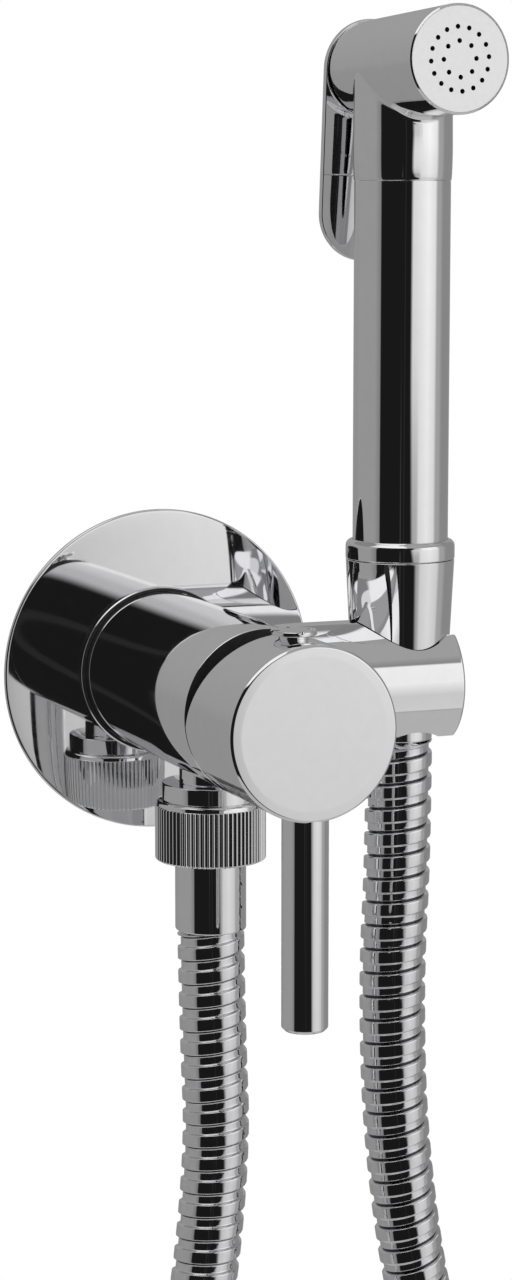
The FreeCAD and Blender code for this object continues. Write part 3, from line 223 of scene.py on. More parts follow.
# %% Dress the construction solids
STAYING = (
    (grey_foam, "rosette_seal"),
    (black_rubber, "cartridge_gasket", "hose_washer_lower", "hose_washer_upper", "spray_gasket",
     "valve_washer"),
    (white_plastic, "inlet_check_valves", "cartridge_housing", "outlet_check_valve"),
    (dark_plastic, "cartridge_turret", "holder_liner", "valve_gland"),
    (white_ceramic, "ceramic_seat_disc", "ceramic_moving_disc"),
    (spring_steel, "stem_pin", "handle_set_screw", "valve_spring"),
    (raw_brass, "cartridge_stem", "cartridge_ring_nut", "valve_plunger"),
)
for material, *nodes in STAYING:
    for node in nodes:
        for material_slot in frame["nodes"][node].material_slots:
            material_slot.material = material
    print("%s: %s" % (material.name, ", ".join(nodes)))

# %% [markdown]
# ## The hose's line
# The hose leaves the lower sleeve straight down, hangs in one wide loop and rises to the sleeve
# under the hand shower. Its length is fixed, so its line is one smooth NURBS curve through the
# air, with the control points of the construction model. The picture shows it end to end.

# %% Hose line
HOSE_ROUTE_MM = (
    (0.0, -36.2, -53.5),
    (0.4, -36.2, -78.0),
    (1.5, -36.5, -105.0),
    (-4.0, -37.5, -150.0),
    (-21.0, -39.0, -205.0),
    (-45.0, -41.0, -262.0),
    (-66.0, -43.0, -321.0),
    (-70.0, -44.0, -383.0),
    (-45.0, -45.0, -437.0),
    (4.0, -45.5, -464.0),
    (60.0, -45.5, -458.0),
    (103.0, -45.0, -420.0),
    (118.0, -44.5, -364.0),
    (107.0, -44.0, -304.0),
    (84.0, -43.0, -251.0),
    (66.0, -42.0, -199.0),
    (50.0, -41.0, -150.0),
    (43.6, -40.0, -107.0),
    (42.4, -39.8, -68.0),
    (43.9, -39.8, -39.5),
    (43.9, -39.8, -12.8),
)

line_data = bpy.data.curves.new("hose_line", "CURVE")
line_data.dimensions = "3D"
line_data.resolution_u = 12
spline = line_data.splines.new("NURBS")
spline.points.add(len(HOSE_ROUTE_MM) - 1)
for point, (x, y, z) in zip(spline.points, HOSE_ROUTE_MM):
    point.co = (x * MM, y * MM, z * MM, 1.0)
spline.order_u = 3
spline.use_endpoint_u = True
hose_line = bpy.data.objects.new("hose_line", line_data)
bpy.context.scene.collection.objects.link(hose_line)
bpy.context.view_layer.update()


def plain_mesh(obj, name):
    """The evaluated object as a plain mesh."""
    depsgraph = bpy.context.evaluated_depsgraph_get()
    mesh = bpy.data.meshes.new_from_object(obj.evaluated_get(depsgraph))
    mesh.name = name
    return mesh


line_mesh = plain_mesh(hose_line, "hose_line_points")
hose_path = [tuple(vertex.co) for vertex in line_mesh.vertices]
hose_length = sum((Vector(b) - Vector(a)).length for a, b in zip(hose_path, hose_path[1:]))
print("hose line: %d points, %.3f m" % (len(hose_path), hose_length))

# %% [markdown]
# ## The hose's wound strip
# A metal shower hose is a narrow strip wound in a helix, its edges hooked into each other, so it
# shows a flat crest, a flat lower band and a narrow dark gap, turn after turn. A twisted texture
# would stay flat at the outline. Here a Geometry Nodes tree makes the strip itself: a long grid
# whose one direction is the way round the helix and whose other is the way across the strip.
# Each point is put on the hose line at its distance, and pushed out by the strip's profile.

# %% Node tree helper
class TreeMaker:
    """A geometry tree with named inputs, and the ways to fill and run it."""

    def __init__(self, name, inputs):
        self.tree = bpy.data.node_groups.new(name, "GeometryNodeTree")
        face = self.tree.interface
        self.sockets = {}
        for title, kind, default in (("Geometry", "Geometry", None), *inputs):
            socket = face.new_socket(title, in_out="INPUT", socket_type="NodeSocket" + kind)
            if default is not None:
                socket.default_value = default
            self.sockets[title] = socket.identifier
        face.new_socket("Geometry", in_out="OUTPUT", socket_type="NodeSocketGeometry")
        self.start = self.tree.nodes.new("NodeGroupInput").outputs

    def add(self, kind, settings=None, **links):
        return add_node(self.tree, kind, settings, **links)

    def math(self, operation, first, second=0.0, third=0.0):
        return self.add("ShaderNodeMath", {"operation": operation}, n0=first, n1=second, n2=third)

    def vector(self, operation, first, **links):
        return self.add("ShaderNodeVectorMath", {"operation": operation}, n0=first, **links)

    def end(self, geometry, paint=True):
        """Close the tree with real geometry, in the asked material where it has none yet."""
        last = self.add("GeometryNodeRealizeInstances", Geometry=geometry)
        if paint:
            last = self.add("GeometryNodeSetMaterial", Geometry=last, Material=self.start["Material"])
        self.add("NodeGroupOutput", Geometry=last)
        print("tree:", self.tree.name)

    def run_on(self, obj, values):
        """The tree's result on an object, as a plain mesh; the modifier is taken off again."""
        modifier = obj.modifiers.new(self.tree.name, "NODES")
        modifier.node_group = self.tree
        for title, value in values.items():
            modifier[self.sockets[title]] = value
        obj.update_tag()
        bpy.context.view_layer.update()
        mesh = plain_mesh(obj, self.tree.name)
        obj.modifiers.remove(modifier)
        return mesh


def new_piece(name, mesh):
    """An object at the origin with its place in its mesh."""
    piece = bpy.data.objects.new(name, mesh)
    bpy.context.scene.collection.objects.link(piece)
    return piece


# %% Strip profile
# Each point is a share of the pitch, and a height between the groove at 0 and the crest at 1.
STRIP = (
    (0.000, 0.00),
    (0.035, 0.00),
    (0.055, 0.26),
    (0.080, 0.34),
    (0.110, 0.31),
    (0.150, 0.30),
    (0.330, 0.30),
    (0.370, 0.33),
    (0.390, 0.45),
    (0.415, 0.88),
    (0.440, 0.98),
    (0.480, 1.00),
    (0.880, 1.00),
    (0.920, 0.98),
    (0.945, 0.88),
    (0.960, 0.60),
    (0.968, 0.00),
    (1.000, 0.00),
)
print("strip: %d points across" % len(STRIP))

# %% Wound strip tree
strip = TreeMaker("wound_strip", (
    ("Pitch", "Float", 0.0054),
    ("Crest Radius", "Float", 0.0075),
    ("Groove Depth", "Float", 0.0009),
    ("Steps Per Turn", "Int", 28),
    ("Material", "Material", None),
))
given = strip.start
points_across = float(len(STRIP))
whole = strip.add("GeometryNodeCurveLength", Curve=given["Geometry"])
turns = strip.math("ADD", strip.math("CEIL", strip.math("DIVIDE", whole, given["Pitch"])), 4.0)
rows = strip.math("MULTIPLY_ADD", turns, given["Steps Per Turn"], 1.0)
grid = strip.add("GeometryNodeMeshGrid", Vertices_X=rows, Vertices_Y=len(STRIP))
index = strip.add("GeometryNodeInputIndex")
row = strip.math("FLOOR", strip.math("DIVIDE", strip.math("ADD", index, 0.5), points_across))
column = strip.math("SUBTRACT", index, strip.math("MULTIPLY", row, points_across))
share = strip.math("DIVIDE", column, points_across - 1.0)


def strip_curve(values):
    """A float curve that gives each column of the strip its own value."""
    made = strip.add("ShaderNodeFloatCurve", Value=share)
    curve = made.mapping.curves[0]
    last = len(values) - 1
    curve.points[0].location = (0.0, values[0])
    curve.points[1].location = (1.0, values[last])
    for number in range(1, last):
        curve.points.new(number / last, values[number])
    for point in curve.points:
        point.handle_type = "VECTOR"
    made.mapping.update()
    return made


step_along = strip_curve([share_of_pitch for share_of_pitch, height in STRIP])
lift = strip_curve([height for share_of_pitch, height in STRIP])
turn = strip.math("SUBTRACT", strip.math("DIVIDE", row, given["Steps Per Turn"]), 2.0)
raw = strip.math("MULTIPLY", strip.math("ADD", turn, step_along), given["Pitch"])
along = strip.math("MINIMUM", strip.math("MAXIMUM", raw, 0.0), whole)
past = strip.math("DIVIDE", strip.math("ABSOLUTE", strip.math("SUBTRACT", raw, along)), given["Pitch"])
closing = strip.math("MAXIMUM", strip.math("SUBTRACT", 1.0, past), 0.0)
sample = strip.add("GeometryNodeSampleCurve", {"mode": "LENGTH"}, Curves=given["Geometry"],
                   Length=along).outputs
angle = strip.math("MULTIPLY", turn, 2 * math.pi)
across = strip.vector("CROSS_PRODUCT", sample["Tangent"], n1=sample["Normal"])
up_part = strip.vector("SCALE", sample["Normal"], Scale=strip.math("COSINE", angle))
side_part = strip.vector("SCALE", across, Scale=strip.math("SINE", angle))
outward = strip.vector("ADD", up_part, n1=side_part)
drop = strip.math("MULTIPLY", strip.math("SUBTRACT", 1.0, lift), given["Groove Depth"])
radius = strip.math("MULTIPLY", strip.math("SUBTRACT", given["Crest Radius"], drop), closing)
place = strip.vector("ADD", sample["Position"], n1=strip.vector("SCALE", outward, Scale=radius))
moved = strip.add("GeometryNodeSetPosition", Geometry=grid, Position=place)
marked = strip.add("GeometryNodeStoreNamedAttribute", {"data_type": "FLOAT", "domain": "POINT"},
                   Geometry=moved, Name="strip_height", Value=lift)
merged = strip.add("GeometryNodeMergeByDistance", Geometry=marked, Distance=0.000004)
strip.end(strip.add("GeometryNodeSetShadeSmooth", Geometry=merged))

# %% Hose piece
HOSE_PITCH = 0.0054
HOSE_CREST = 0.0075
HOSE_GROOVE = 0.00105
hose_mesh = strip.run_on(hose_line, {
    "Pitch": HOSE_PITCH,
    "Crest Radius": HOSE_CREST,
    "Groove Depth": HOSE_GROOVE,
    "Material": hose_chrome,
})
wound_hose = new_piece("wound_hose", hose_mesh)
wound_hose.modifiers.new("even_normals", "WEIGHTED_NORMAL")
bpy.data.objects.remove(hose_line)
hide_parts("bidet_hose")
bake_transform(wound_hose)
print("hose: %d faces" % len(hose_mesh.polygons))

# %% [markdown]
# ## Turned pieces
# Most of this mixer was made on a lathe, so most pieces are a profile spun round an axis. The
# spin is done here by hand, ring by ring, with corners rounded by small arcs, because polished
# chrome draws a bright line along every rounded edge, and a sharp corner would have none.

# %% Round corners
SHARED_SIDE, WHOLE_SIDE = 0.49, 0.98


def rounded(corners, steps=5):
    """Replace each (radius, station, rounding) corner by a small arc between its two sides."""
    points = []
    count = len(corners)
    for index, (r, s, rounding) in enumerate(corners):
        here = Vector((r, s))
        last, following = corners[index - 1], corners[(index + 1) % count]
        to_here, from_here = here - Vector(last[:2]), Vector(following[:2]) - here
        into, out = to_here.normalized(), from_here.normalized()
        turn = into.angle(out)
        if rounding <= 0 or turn < 0.01:
            points.append(here)
            continue
        before_share = SHARED_SIDE if last[2] > 0 else WHOLE_SIDE
        after_share = SHARED_SIDE if following[2] > 0 else WHOLE_SIDE
        reach = min(rounding * math.tan(turn / 2), before_share * to_here.length,
                    after_share * from_here.length)
        bow = reach / math.tan(turn / 2)
        start = here - into * reach
        side = (out - into * math.cos(turn)).normalized()
        for step in range(steps + 1):
            swing = turn * step / steps
            points.append(start + into * bow * math.sin(swing) + side * bow * (1 - math.cos(swing)))
    return points


print("a round corner has %d points" % len(rounded(((0, 0, 0), (1, 0, 0.2), (1, 1, 0)))[1:-1]))

# %% Lathe
AXES = {
    "up": (Vector((1, 0, 0)), Vector((0, 1, 0)), Vector((0, 0, 1))),
    "front": (Vector((1, 0, 0)), Vector((0, 0, 1)), Vector((0, -1, 0))),
    "side": (Vector((0, 1, 0)), Vector((0, 0, 1)), Vector((1, 0, 0))),
}


def settle(maker, name, outwards=True):
    """A finished bmesh as an object, with its faces turned outwards."""
    if outwards:
        bmesh.ops.recalc_face_normals(maker, faces=maker.faces)
    mesh = bpy.data.meshes.new(name)
    maker.to_mesh(mesh)
    maker.free()
    return new_piece(name, mesh)


def lathe(name, corners, axis, centre, segments=128):
    """Spin a closed profile, given in millimetres, round an axis through the centre."""
    across, other, along = AXES[axis]
    maker = bmesh.new()
    rings = []
    for point in rounded(corners):
        base = Vector(centre) + along * point.y
        if point.x < 1e-6:
            rings.append([maker.verts.new(base * MM)])
            continue
        ring = []
        for step in range(segments):
            angle = 2 * math.pi * step / segments
            out = across * math.cos(angle) + other * math.sin(angle)
            ring.append(maker.verts.new((base + out * point.x) * MM))
        rings.append(ring)
    for first, second in zip(rings, rings[1:] + rings[:1]):
        if len(first) == 1 and len(second) == 1:
            continue
        for step in range(segments):
            after = (step + 1) % segments
            loop = [first[step % len(first)], first[after % len(first)],
                    second[after % len(second)], second[step % len(second)]]
            maker.faces.new(list(dict.fromkeys(loop)))
    return settle(maker, name)


def bar(name, radius, axis, start, end, centre, segments=64, rounding=0.0):
    """A plain round bar, used as a cutting tool or a small piece."""
    corners = ((0, start, 0), (radius, start, rounding), (radius, end, rounding), (0, end, 0))
    return lathe(name, corners, axis, centre, segments)


print("axes:", ", ".join(AXES))

# %% [markdown]
# ## Straight prisms
# Slots, notches and flats are cut by straight prisms, drawn as an outline and pulled along an
# axis. Rows of points are joined by faces in one helper, because the head and the paddle are
# made of such rows too.

# %% Prism
def join_loops(maker, first, second, closed=True):
    """Faces with four corners between two rows of points."""
    for index in range(len(first) if closed else len(first) - 1):
        after = (index + 1) % len(first)
        maker.faces.new((first[index], first[after], second[after], second[index]))


def oblong(first, last):
    """The outline of a rectangle between two opposite corners."""
    return first, (last[0], first[1]), last, (first[0], last[1])


def prism(name, outline, axis, start, end):
    """A straight prism on an outline of millimetre points, for cutting."""
    across, other, along = AXES[axis]
    maker = bmesh.new()
    loops = []
    for station in (start, end):
        loops.append([maker.verts.new((across * a + other * b + along * station) * MM) for a, b in outline])
    maker.faces.new(loops[0])
    maker.faces.new(loops[1])
    join_loops(maker, *loops)
    return settle(maker, name)


# %% [markdown]
# ## Cutting and finishing a piece
# A hole is cut with an exact Boolean, because its edge has to stay clean in a mirror finish.
# Every piece then gets smooth shading, normals weighted by face size, so that flat faces mirror
# flat, its finish, and its place on the frame.

# %% Carve and complete
SHARP_ANGLE = math.radians(32)


def carve(piece, *tools, join=()):
    """Join some solids to a piece and take others out of it, then drop those solids."""
    for operation, solids in (("UNION", join), ("DIFFERENCE", tools)):
        for solid in solids:
            modifier = piece.modifiers.new("carve", "BOOLEAN")
            modifier.operation = operation
            modifier.solver = "EXACT"
            modifier.object = solid
    bpy.context.view_layer.update()
    piece.data = plain_mesh(piece, piece.name)
    piece.modifiers.clear()
    for solid in (*tools, *join):
        bpy.data.objects.remove(solid)


def complete(piece, body, node, material=polished_chrome, edge=0.0):
    """Smooth shading, a soft edge where asked, its finish, and its place in the frame."""
    if material:
        piece.data.materials.clear()
        piece.data.materials.append(material)
    for polygon in piece.data.polygons:
        polygon.use_smooth = True
        if material:
            polygon.material_index = 0
    if edge:
        soft = piece.modifiers.new("soft_edge", "BEVEL")
        soft.width = edge * MM
        soft.segments = 3
        soft.limit_method = "ANGLE"
        soft.angle_limit = SHARP_ANGLE
    else:
        piece.data.set_sharp_from_angle(angle=SHARP_ANGLE)
    even = piece.modifiers.new("even_normals", "WEIGHTED_NORMAL")
    even.keep_sharp = True
    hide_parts(node)
    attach(piece, body)
    print("%s: %d faces" % (piece.name, len(piece.data.polygons)))
    return piece


def turned(name, body, node, corners, axis, centre, segments=96):
    """A lathe piece in chrome that needs no cuts."""
    return complete(lathe(name, corners, axis, centre, segments), body, node)


def paint_gap_shade(piece, test):
    """Paint shade: give the near-black finish, which stands in for the shade in a gap, to the faces of a
    piece that a test picks.
    """
    piece.data.materials.append(gap_shade_black)
    for polygon in piece.data.polygons:
        if test(polygon.center / MM, polygon.normal):
            polygon.material_index = 1


# %% [markdown]
# ## Wall plate, ring and body
# The plate is pressed sheet, very slightly domed, with a short rim that is rolled inward. Its
# dome shows only in what it mirrors. A thin ring hides its hole; its front face lies in a seam, and
# the seam's shade is painted on it in near-black. The body is a turned casting, with its two supply
# ports in the back and the outlet's hole below. Its front face lies in the gap under the handle,
# and that gap's shade is painted on it in near-black.

# %% Wall plate and ring
BODY_R = 18.25
PLATE_R = 37.0
PLATE_FRONT = 2.9
PLATE_HOLE = BODY_R + 0.1
SHEET_BACK, RIM_OUTSIDE, RIM_INSIDE = 1.9, 0.9, 1.9
MIDDLE = (0, 0, 0)
TOOL_REACH = 20

DOME, DOME_STEPS, DOME_POWER = 0.05, 12, 5
dome_points = []
for step in range(DOME_STEPS, -1, -1):
    share = step / DOME_STEPS
    radius = PLATE_HOLE + (PLATE_R - RIM_OUTSIDE - BODY_R) * share
    dome_points.append((radius, PLATE_FRONT - DOME * share ** DOME_POWER, 0))
turned("wall_plate", "mixer", "wall_rosette", (
    (PLATE_HOLE, SHEET_BACK, 0),
    (PLATE_R - RIM_INSIDE, SHEET_BACK, 0),
    (PLATE_R - RIM_INSIDE, 0.0, 0),
    (PLATE_R - RIM_OUTSIDE, 0.0, 0.1),
    (PLATE_R, 2.0, 0.3),
    (PLATE_R - 0.05, PLATE_FRONT - DOME - 0.03, 0.7),
    *dome_points,
), "front", MIDDLE, segments=192)

RING_FRONT, RING_WIDTH = PLATE_FRONT + 1.3, 1.05
step_ring = turned("plate_ring", "mixer", "rosette_ring", (
    (BODY_R + 0.05, PLATE_FRONT, 0),
    (BODY_R + RING_WIDTH, PLATE_FRONT, 0),
    (BODY_R + RING_WIDTH, RING_FRONT, 0.45),
    (BODY_R + 0.05, RING_FRONT, 0),
), "front", MIDDLE, segments=128)
# painted shade: the ring's front face, in the seam, gets the near-black finish
paint_gap_shade(step_ring, lambda centre, normal: normal.y < -0.9)

# %% Body
BODY_FRONT = 69.5
NUT_HOLE_R, NUT_HOLE_END = 14.05, 61.8
CARTRIDGE_HOLE_R, CARTRIDGE_HOLE_END = 12.7, 42.0
casting = lathe("body_casting", (
    (0, 0, 0),
    (BODY_R, 0, 0.2),
    (BODY_R, BODY_FRONT, 0.3),
    (NUT_HOLE_R, BODY_FRONT, 0.1),
    (NUT_HOLE_R, NUT_HOLE_END, 0),
    (CARTRIDGE_HOLE_R, NUT_HOLE_END, 0),
    (CARTRIDGE_HOLE_R, CARTRIDGE_HOLE_END, 0),
    (0, CARTRIDGE_HOLE_END, 0),
), "front", MIDDLE)
PORT_X, PORT_Z, PORT_R, PORT_DEPTH = 7.6, 3.0, 4.95, 12
OUTLET_AT, OUTLET_TOP, OUTLET_R = (0, -36.2, 0), -12.6, 6.9
carve(casting,
      bar("port_hot", PORT_R, "front", -1, PORT_DEPTH, (-PORT_X, 0, PORT_Z)),
      bar("port_cold", PORT_R, "front", -1, PORT_DEPTH, (PORT_X, 0, PORT_Z)),
      bar("outlet_hole", OUTLET_R + 0.05, "up", -19.5, OUTLET_TOP, OUTLET_AT))
complete(casting, "mixer", "mixer_body")
# painted shade: the body's front face, in the gap under the handle, gets the near-black finish
paint_gap_shade(casting, lambda centre, normal: centre.y < 1.0 - BODY_FRONT and normal.y < -0.9)

# %% [markdown]
# ## Handle
# A round knob with a slanted back, a straight pin that hangs from it as the lever, and a small
# notched cap over the screw on its top. The slant is one plane, so a wedge is taken out of the
# turned knob. The slanted face lies in the gap, and the gap's shade is painted on it in near-black.

# %% Knob
KNOB_BACK, KNOB_FRONT = 70.0, 96.3
KNOB_CHAMFER, KNOB_DOME = 0.5, 0.05
CAVITY_R, CAVITY_FRONT, BOSS_R, BOSS_BACK = 14.5, KNOB_BACK + 10.5, 7.5, KNOB_BACK + 8.5
PIN_Y, SCREW_Y = -91.2, -85.0
knob = lathe("handle_knob_turned", (
    (0, BOSS_BACK, 0),
    (BOSS_R, BOSS_BACK, 0),
    (BOSS_R, CAVITY_FRONT, 0),
    (CAVITY_R, CAVITY_FRONT, 0),
    (CAVITY_R, KNOB_BACK, 0),
    (BODY_R, KNOB_BACK, 0.15),
    (BODY_R, KNOB_FRONT - KNOB_DOME - KNOB_CHAMFER, 0.5),
    (BODY_R - KNOB_CHAMFER, KNOB_FRONT - KNOB_DOME, 0.55),
    (BODY_R - 2.4, KNOB_FRONT, 20.0),
    (0, KNOB_FRONT, 0),
), "front", MIDDLE, segments=192)
SLANT_START, SLANT_SLOPE, SLANT_REACH = 2.0, 0.45, 21.25
slant_top = SLANT_REACH - SLANT_START
wedge = prism("slant_wedge", (
    (-KNOB_BACK + 1.0, -SLANT_START),
    (-KNOB_BACK, -SLANT_START),
    (-KNOB_BACK - SLANT_REACH * SLANT_SLOPE, slant_top),
    (-KNOB_BACK + 1.0, slant_top),
), "side", -TOOL_REACH, TOOL_REACH)
FLAT_HEIGHT, PIN_TOP, PIN_R, CAP_NECK_R = 17.6, -17.5, 4.85, 3.1
carve(knob, wedge,
      bar("cap_flat", CAP_NECK_R + 0.1, "up", FLAT_HEIGHT, TOOL_REACH, (0, SCREW_Y, 0)),
      bar("pin_flat", PIN_R + 0.05, "up", -TOOL_REACH, PIN_TOP, (0, PIN_Y, 0)))
complete(knob, "handle", "handle_knob")
# painted shade: the knob's slanted back, in the gap, gets the near-black finish
paint_gap_shade(knob, lambda centre, normal: normal.y > 0.6)

# %% Pin
PIN_END, PIN_CHAMFER, STUD_R, STUD_TOP = -62.4, 0.7, 2.45, -10.5
turned("handle_pin_turned", "handle", "handle_pin", (
    (0, PIN_END, 0),
    (PIN_R - PIN_CHAMFER, PIN_END, 0.3),
    (PIN_R, PIN_END + PIN_CHAMFER, 0.3),
    (PIN_R, PIN_TOP, 0),
    (STUD_R, PIN_TOP, 0),
    (STUD_R, STUD_TOP, 0),
    (0, STUD_TOP, 0),
), "up", (0, PIN_Y, 0))

# %% Notched cap
CAP_TOP, CAP_R, CAP_THICK = 19.9, 4.8, 1.0
CAP_AT, SCREW_END = (0, SCREW_Y, 0), FLAT_HEIGHT - 3.5
cap = lathe("screw_cap_turned", (
    (0, SCREW_END, 0),
    (STUD_R, SCREW_END, 0),
    (STUD_R, FLAT_HEIGHT, 0),
    (CAP_NECK_R, FLAT_HEIGHT, 0),
    (CAP_NECK_R, CAP_TOP - CAP_THICK, 0),
    (CAP_R, CAP_TOP - CAP_THICK, 0.2),
    (CAP_R, CAP_TOP, 0.25),
    (0, CAP_TOP, 0),
), "up", CAP_AT, segments=96)
NOTCH_DEPTH, NOTCH_HALF, NOTCH_REACH = 0.45, 0.4, 6.0
notch_tools = []
for name, half_x, half_y in (("notch_x", NOTCH_REACH, NOTCH_HALF), ("notch_y", NOTCH_HALF, NOTCH_REACH)):
    outline = oblong((-half_x, SCREW_Y - half_y), (half_x, SCREW_Y + half_y))
    notch_tools.append(prism(name, outline, "up", CAP_TOP - NOTCH_DEPTH, CAP_TOP + 1.0))
cap_middle = lathe("cap_middle", (
    (0, CAP_TOP - 0.6, 0),
    (CAP_NECK_R, CAP_TOP - 0.6, 0),
    (CAP_NECK_R, CAP_TOP, 0.05),
    (0, CAP_TOP, 0),
), "up", CAP_AT, segments=96)
carve(cap, *notch_tools)
carve(cap, join=(cap_middle,))
complete(cap, "handle", "screw_cap")

# %% [markdown]
# ## Outlet and hose sleeves
# The outlet's neck and collar stand under the body. A sleeve holds each end of the hose.

# %% Outlet
WATER_R, COLLAR_R, THREAD_R, VALVE_R = 4.0, 10.8, 10.35, 5.6
COLLAR_TOP, COLLAR_LOW, THREAD_LOW, VALVE_TOP = -20.2, -24.0, -33.0, -23.6
turned("outlet_neck", "mixer", "outlet_nipple", (
    (WATER_R, OUTLET_TOP, 0),
    (OUTLET_R, OUTLET_TOP, 0),
    (OUTLET_R, COLLAR_TOP, 0.3),
    (COLLAR_R, COLLAR_TOP, 0.35),
    (COLLAR_R, COLLAR_LOW, 0.2),
    (THREAD_R, COLLAR_LOW, 0),
    (THREAD_R, THREAD_LOW, 0),
    (VALVE_R, THREAD_LOW, 0),
    (VALVE_R, VALVE_TOP, 0),
    (WATER_R, VALVE_TOP, 0),
), "up", OUTLET_AT)

# %% Hose sleeves
HOSE_BORE, FLANGE_R = 4.5, 9.1
LOWER_R, LOWER_TOP, LOWER_STEP, LOWER_END = 7.9, -35.0, -36.5, -53.5
UPPER_R, UPPER_TOP, UPPER_STEP, UPPER_END = 7.4, 13.4, 11.8, -12.8
HOLDER_X, HOLDER_Y = 43.9, -39.8
HOLDER_AT = (HOLDER_X, HOLDER_Y, 0)
turned("lower_sleeve", "mixer", "hose_ferrule_lower", (
    (HOSE_BORE, LOWER_TOP, 0),
    (FLANGE_R, LOWER_TOP, 0),
    (FLANGE_R, LOWER_STEP, 0),
    (LOWER_R, LOWER_STEP, 0),
    (LOWER_R, LOWER_END, 0.5),
    (HOSE_BORE, LOWER_END, 0),
), "up", OUTLET_AT)
turned("upper_sleeve", "hose_end", "hose_ferrule_upper", (
    (HOSE_BORE, UPPER_END, 0),
    (UPPER_R, UPPER_END, 0.4),
    (UPPER_R, UPPER_STEP, 0),
    (FLANGE_R, UPPER_STEP, 0),
    (FLANGE_R, UPPER_TOP, 0),
    (HOSE_BORE, UPPER_TOP, 0),
), "up", HOLDER_AT)

# %% [markdown]
# ## Knurled nut
# The nut has many shallow flutes between two plain lips. They all have one shape and one
# spacing, so a Geometry Nodes tree makes them: it takes the turned nut and draws each point of
# its fluted part towards the axis by how near it is to the middle of a flute.

# %% Flute tree
flutes = TreeMaker("nut_flutes", (
    ("Count", "Int", 72),
    ("Depth", "Float", 0.0004),
    ("Sharpness", "Float", 2.0),
    ("Low", "Float", -0.0376),
    ("High", "Float", -0.0253),
    ("Least Radius", "Float", 0.0121),
    ("Axis Point", "Vector", None),
    ("Material", "Material", None),
))
given = flutes.start
position = flutes.add("GeometryNodeInputPosition")
from_axis = flutes.vector("SUBTRACT", position, n1=given["Axis Point"])
parts = flutes.add("ShaderNodeSeparateXYZ", n0=from_axis).outputs
bearing = flutes.math("ARCTAN2", parts["Y"], parts["X"])
wave = flutes.math("COSINE", flutes.math("MULTIPLY", bearing, given["Count"]))
rise = flutes.math("MULTIPLY_ADD", wave, 0.5, 0.5)
dip = flutes.math("MULTIPLY", flutes.math("POWER", rise, given["Sharpness"]), given["Depth"])
flat = flutes.add("ShaderNodeCombineXYZ", X=parts["X"], Y=parts["Y"])
distance = flutes.vector("LENGTH", flat).outputs["Value"]
shift = flutes.vector("SCALE", flutes.vector("NORMALIZE", flat), Scale=flutes.math("MULTIPLY", dip, -1.0))
outside = flutes.math("GREATER_THAN", distance, given["Least Radius"])
above = flutes.math("GREATER_THAN", parts["Z"], given["Low"])
below = flutes.math("LESS_THAN", parts["Z"], given["High"])
chosen = flutes.math("MULTIPLY", outside, flutes.math("MULTIPLY", above, below))
flutes.end(flutes.add("GeometryNodeSetPosition", Geometry=given["Geometry"], Selection=chosen,
                      Offset=shift))

# %% Knurled nut
NUT_R, LIP_R, THREAD_BORE, SLEEVE_BORE = 12.3, 11.9, 10.4, 7.95
NUT_TOP, NUT_LOW, NUT_FLOOR, FLUTE_TOP = -24.1, -37.5, -36.6, -25.3
FLUTE_COUNT, SEGMENTS_PER_FLUTE = 72, 8
nut = lathe("knurled_nut", (
    (THREAD_BORE, NUT_TOP, 0),
    (LIP_R, NUT_TOP, 1.0),
    (LIP_R + 0.05, FLUTE_TOP, 0.1),
    (NUT_R, FLUTE_TOP - 0.05, 0.1),
    (NUT_R, NUT_LOW + 0.3, 0.3),
    (LIP_R, NUT_LOW, 0.2),
    (SLEEVE_BORE, NUT_LOW, 0.2),
    (SLEEVE_BORE, NUT_FLOOR, 0),
    (THREAD_BORE, NUT_FLOOR, 0),
), "up", OUTLET_AT, segments=FLUTE_COUNT * SEGMENTS_PER_FLUTE)
nut.data = flutes.run_on(nut, {
    "Count": FLUTE_COUNT,
    "Axis Point": tuple(size * MM for size in OUTLET_AT),
    "Material": polished_chrome,
})
complete(nut, "mixer", "hose_nut")

# %% [markdown]
# ## Arm
# A round bar stands out of the side of the body. A stepped hole goes down through its end, and a
# slot opens the hole to the side for the hose. Its inner end is cut to the body's curve, so it is
# carved by a bar of the body's radius.

# %% Arm
ARM_R, ARM_START, ARM_END = 14.4, 9.0, 53.8
SEAT_LOW, SEAT_HIGH = -7.3, 3.0
SEAT_HOLE_R, MOUTH_R, MOUTH_TOP_R, PASSAGE_R = 12.15, 11.35, 11.95, 10.44
SLOT_HALF, SLOT_REACH = 8.8, 60.0
arm = lathe("holder_arm_turned", (
    (0, ARM_START, 0),
    (ARM_R, ARM_START, 0),
    (ARM_R, ARM_END, 0.9),
    (0, ARM_END, 0),
), "side", (0, HOLDER_Y, 0), segments=192)
seat = lathe("holder_seat", (
    (0, SEAT_LOW, 0),
    (SEAT_HOLE_R, SEAT_LOW, 0),
    (SEAT_HOLE_R, SEAT_HIGH, 0),
    (MOUTH_R, SEAT_HIGH, 0),
    (MOUTH_TOP_R, TOOL_REACH, 0),
    (0, TOOL_REACH, 0),
), "up", HOLDER_AT)
slot_outline = oblong((HOLDER_X, HOLDER_Y - SLOT_HALF), (SLOT_REACH, HOLDER_Y + SLOT_HALF))
carve(arm,
      bar("body_curve", BODY_R, "front", -5, 80, MIDDLE, 192),
      seat,
      bar("holder_passage", PASSAGE_R, "up", -TOOL_REACH, TOOL_REACH, HOLDER_AT, 128),
      prism("holder_slot", slot_outline, "up", -TOOL_REACH, TOOL_REACH))
complete(arm, "mixer", "holder_arm", edge=0.7)

# %% [markdown]
# ## Conical nut, end ring and tube
# The hand shower stands in the arm on a slightly conical nut. A ring with a rounded shoulder
# closes the tube above it.

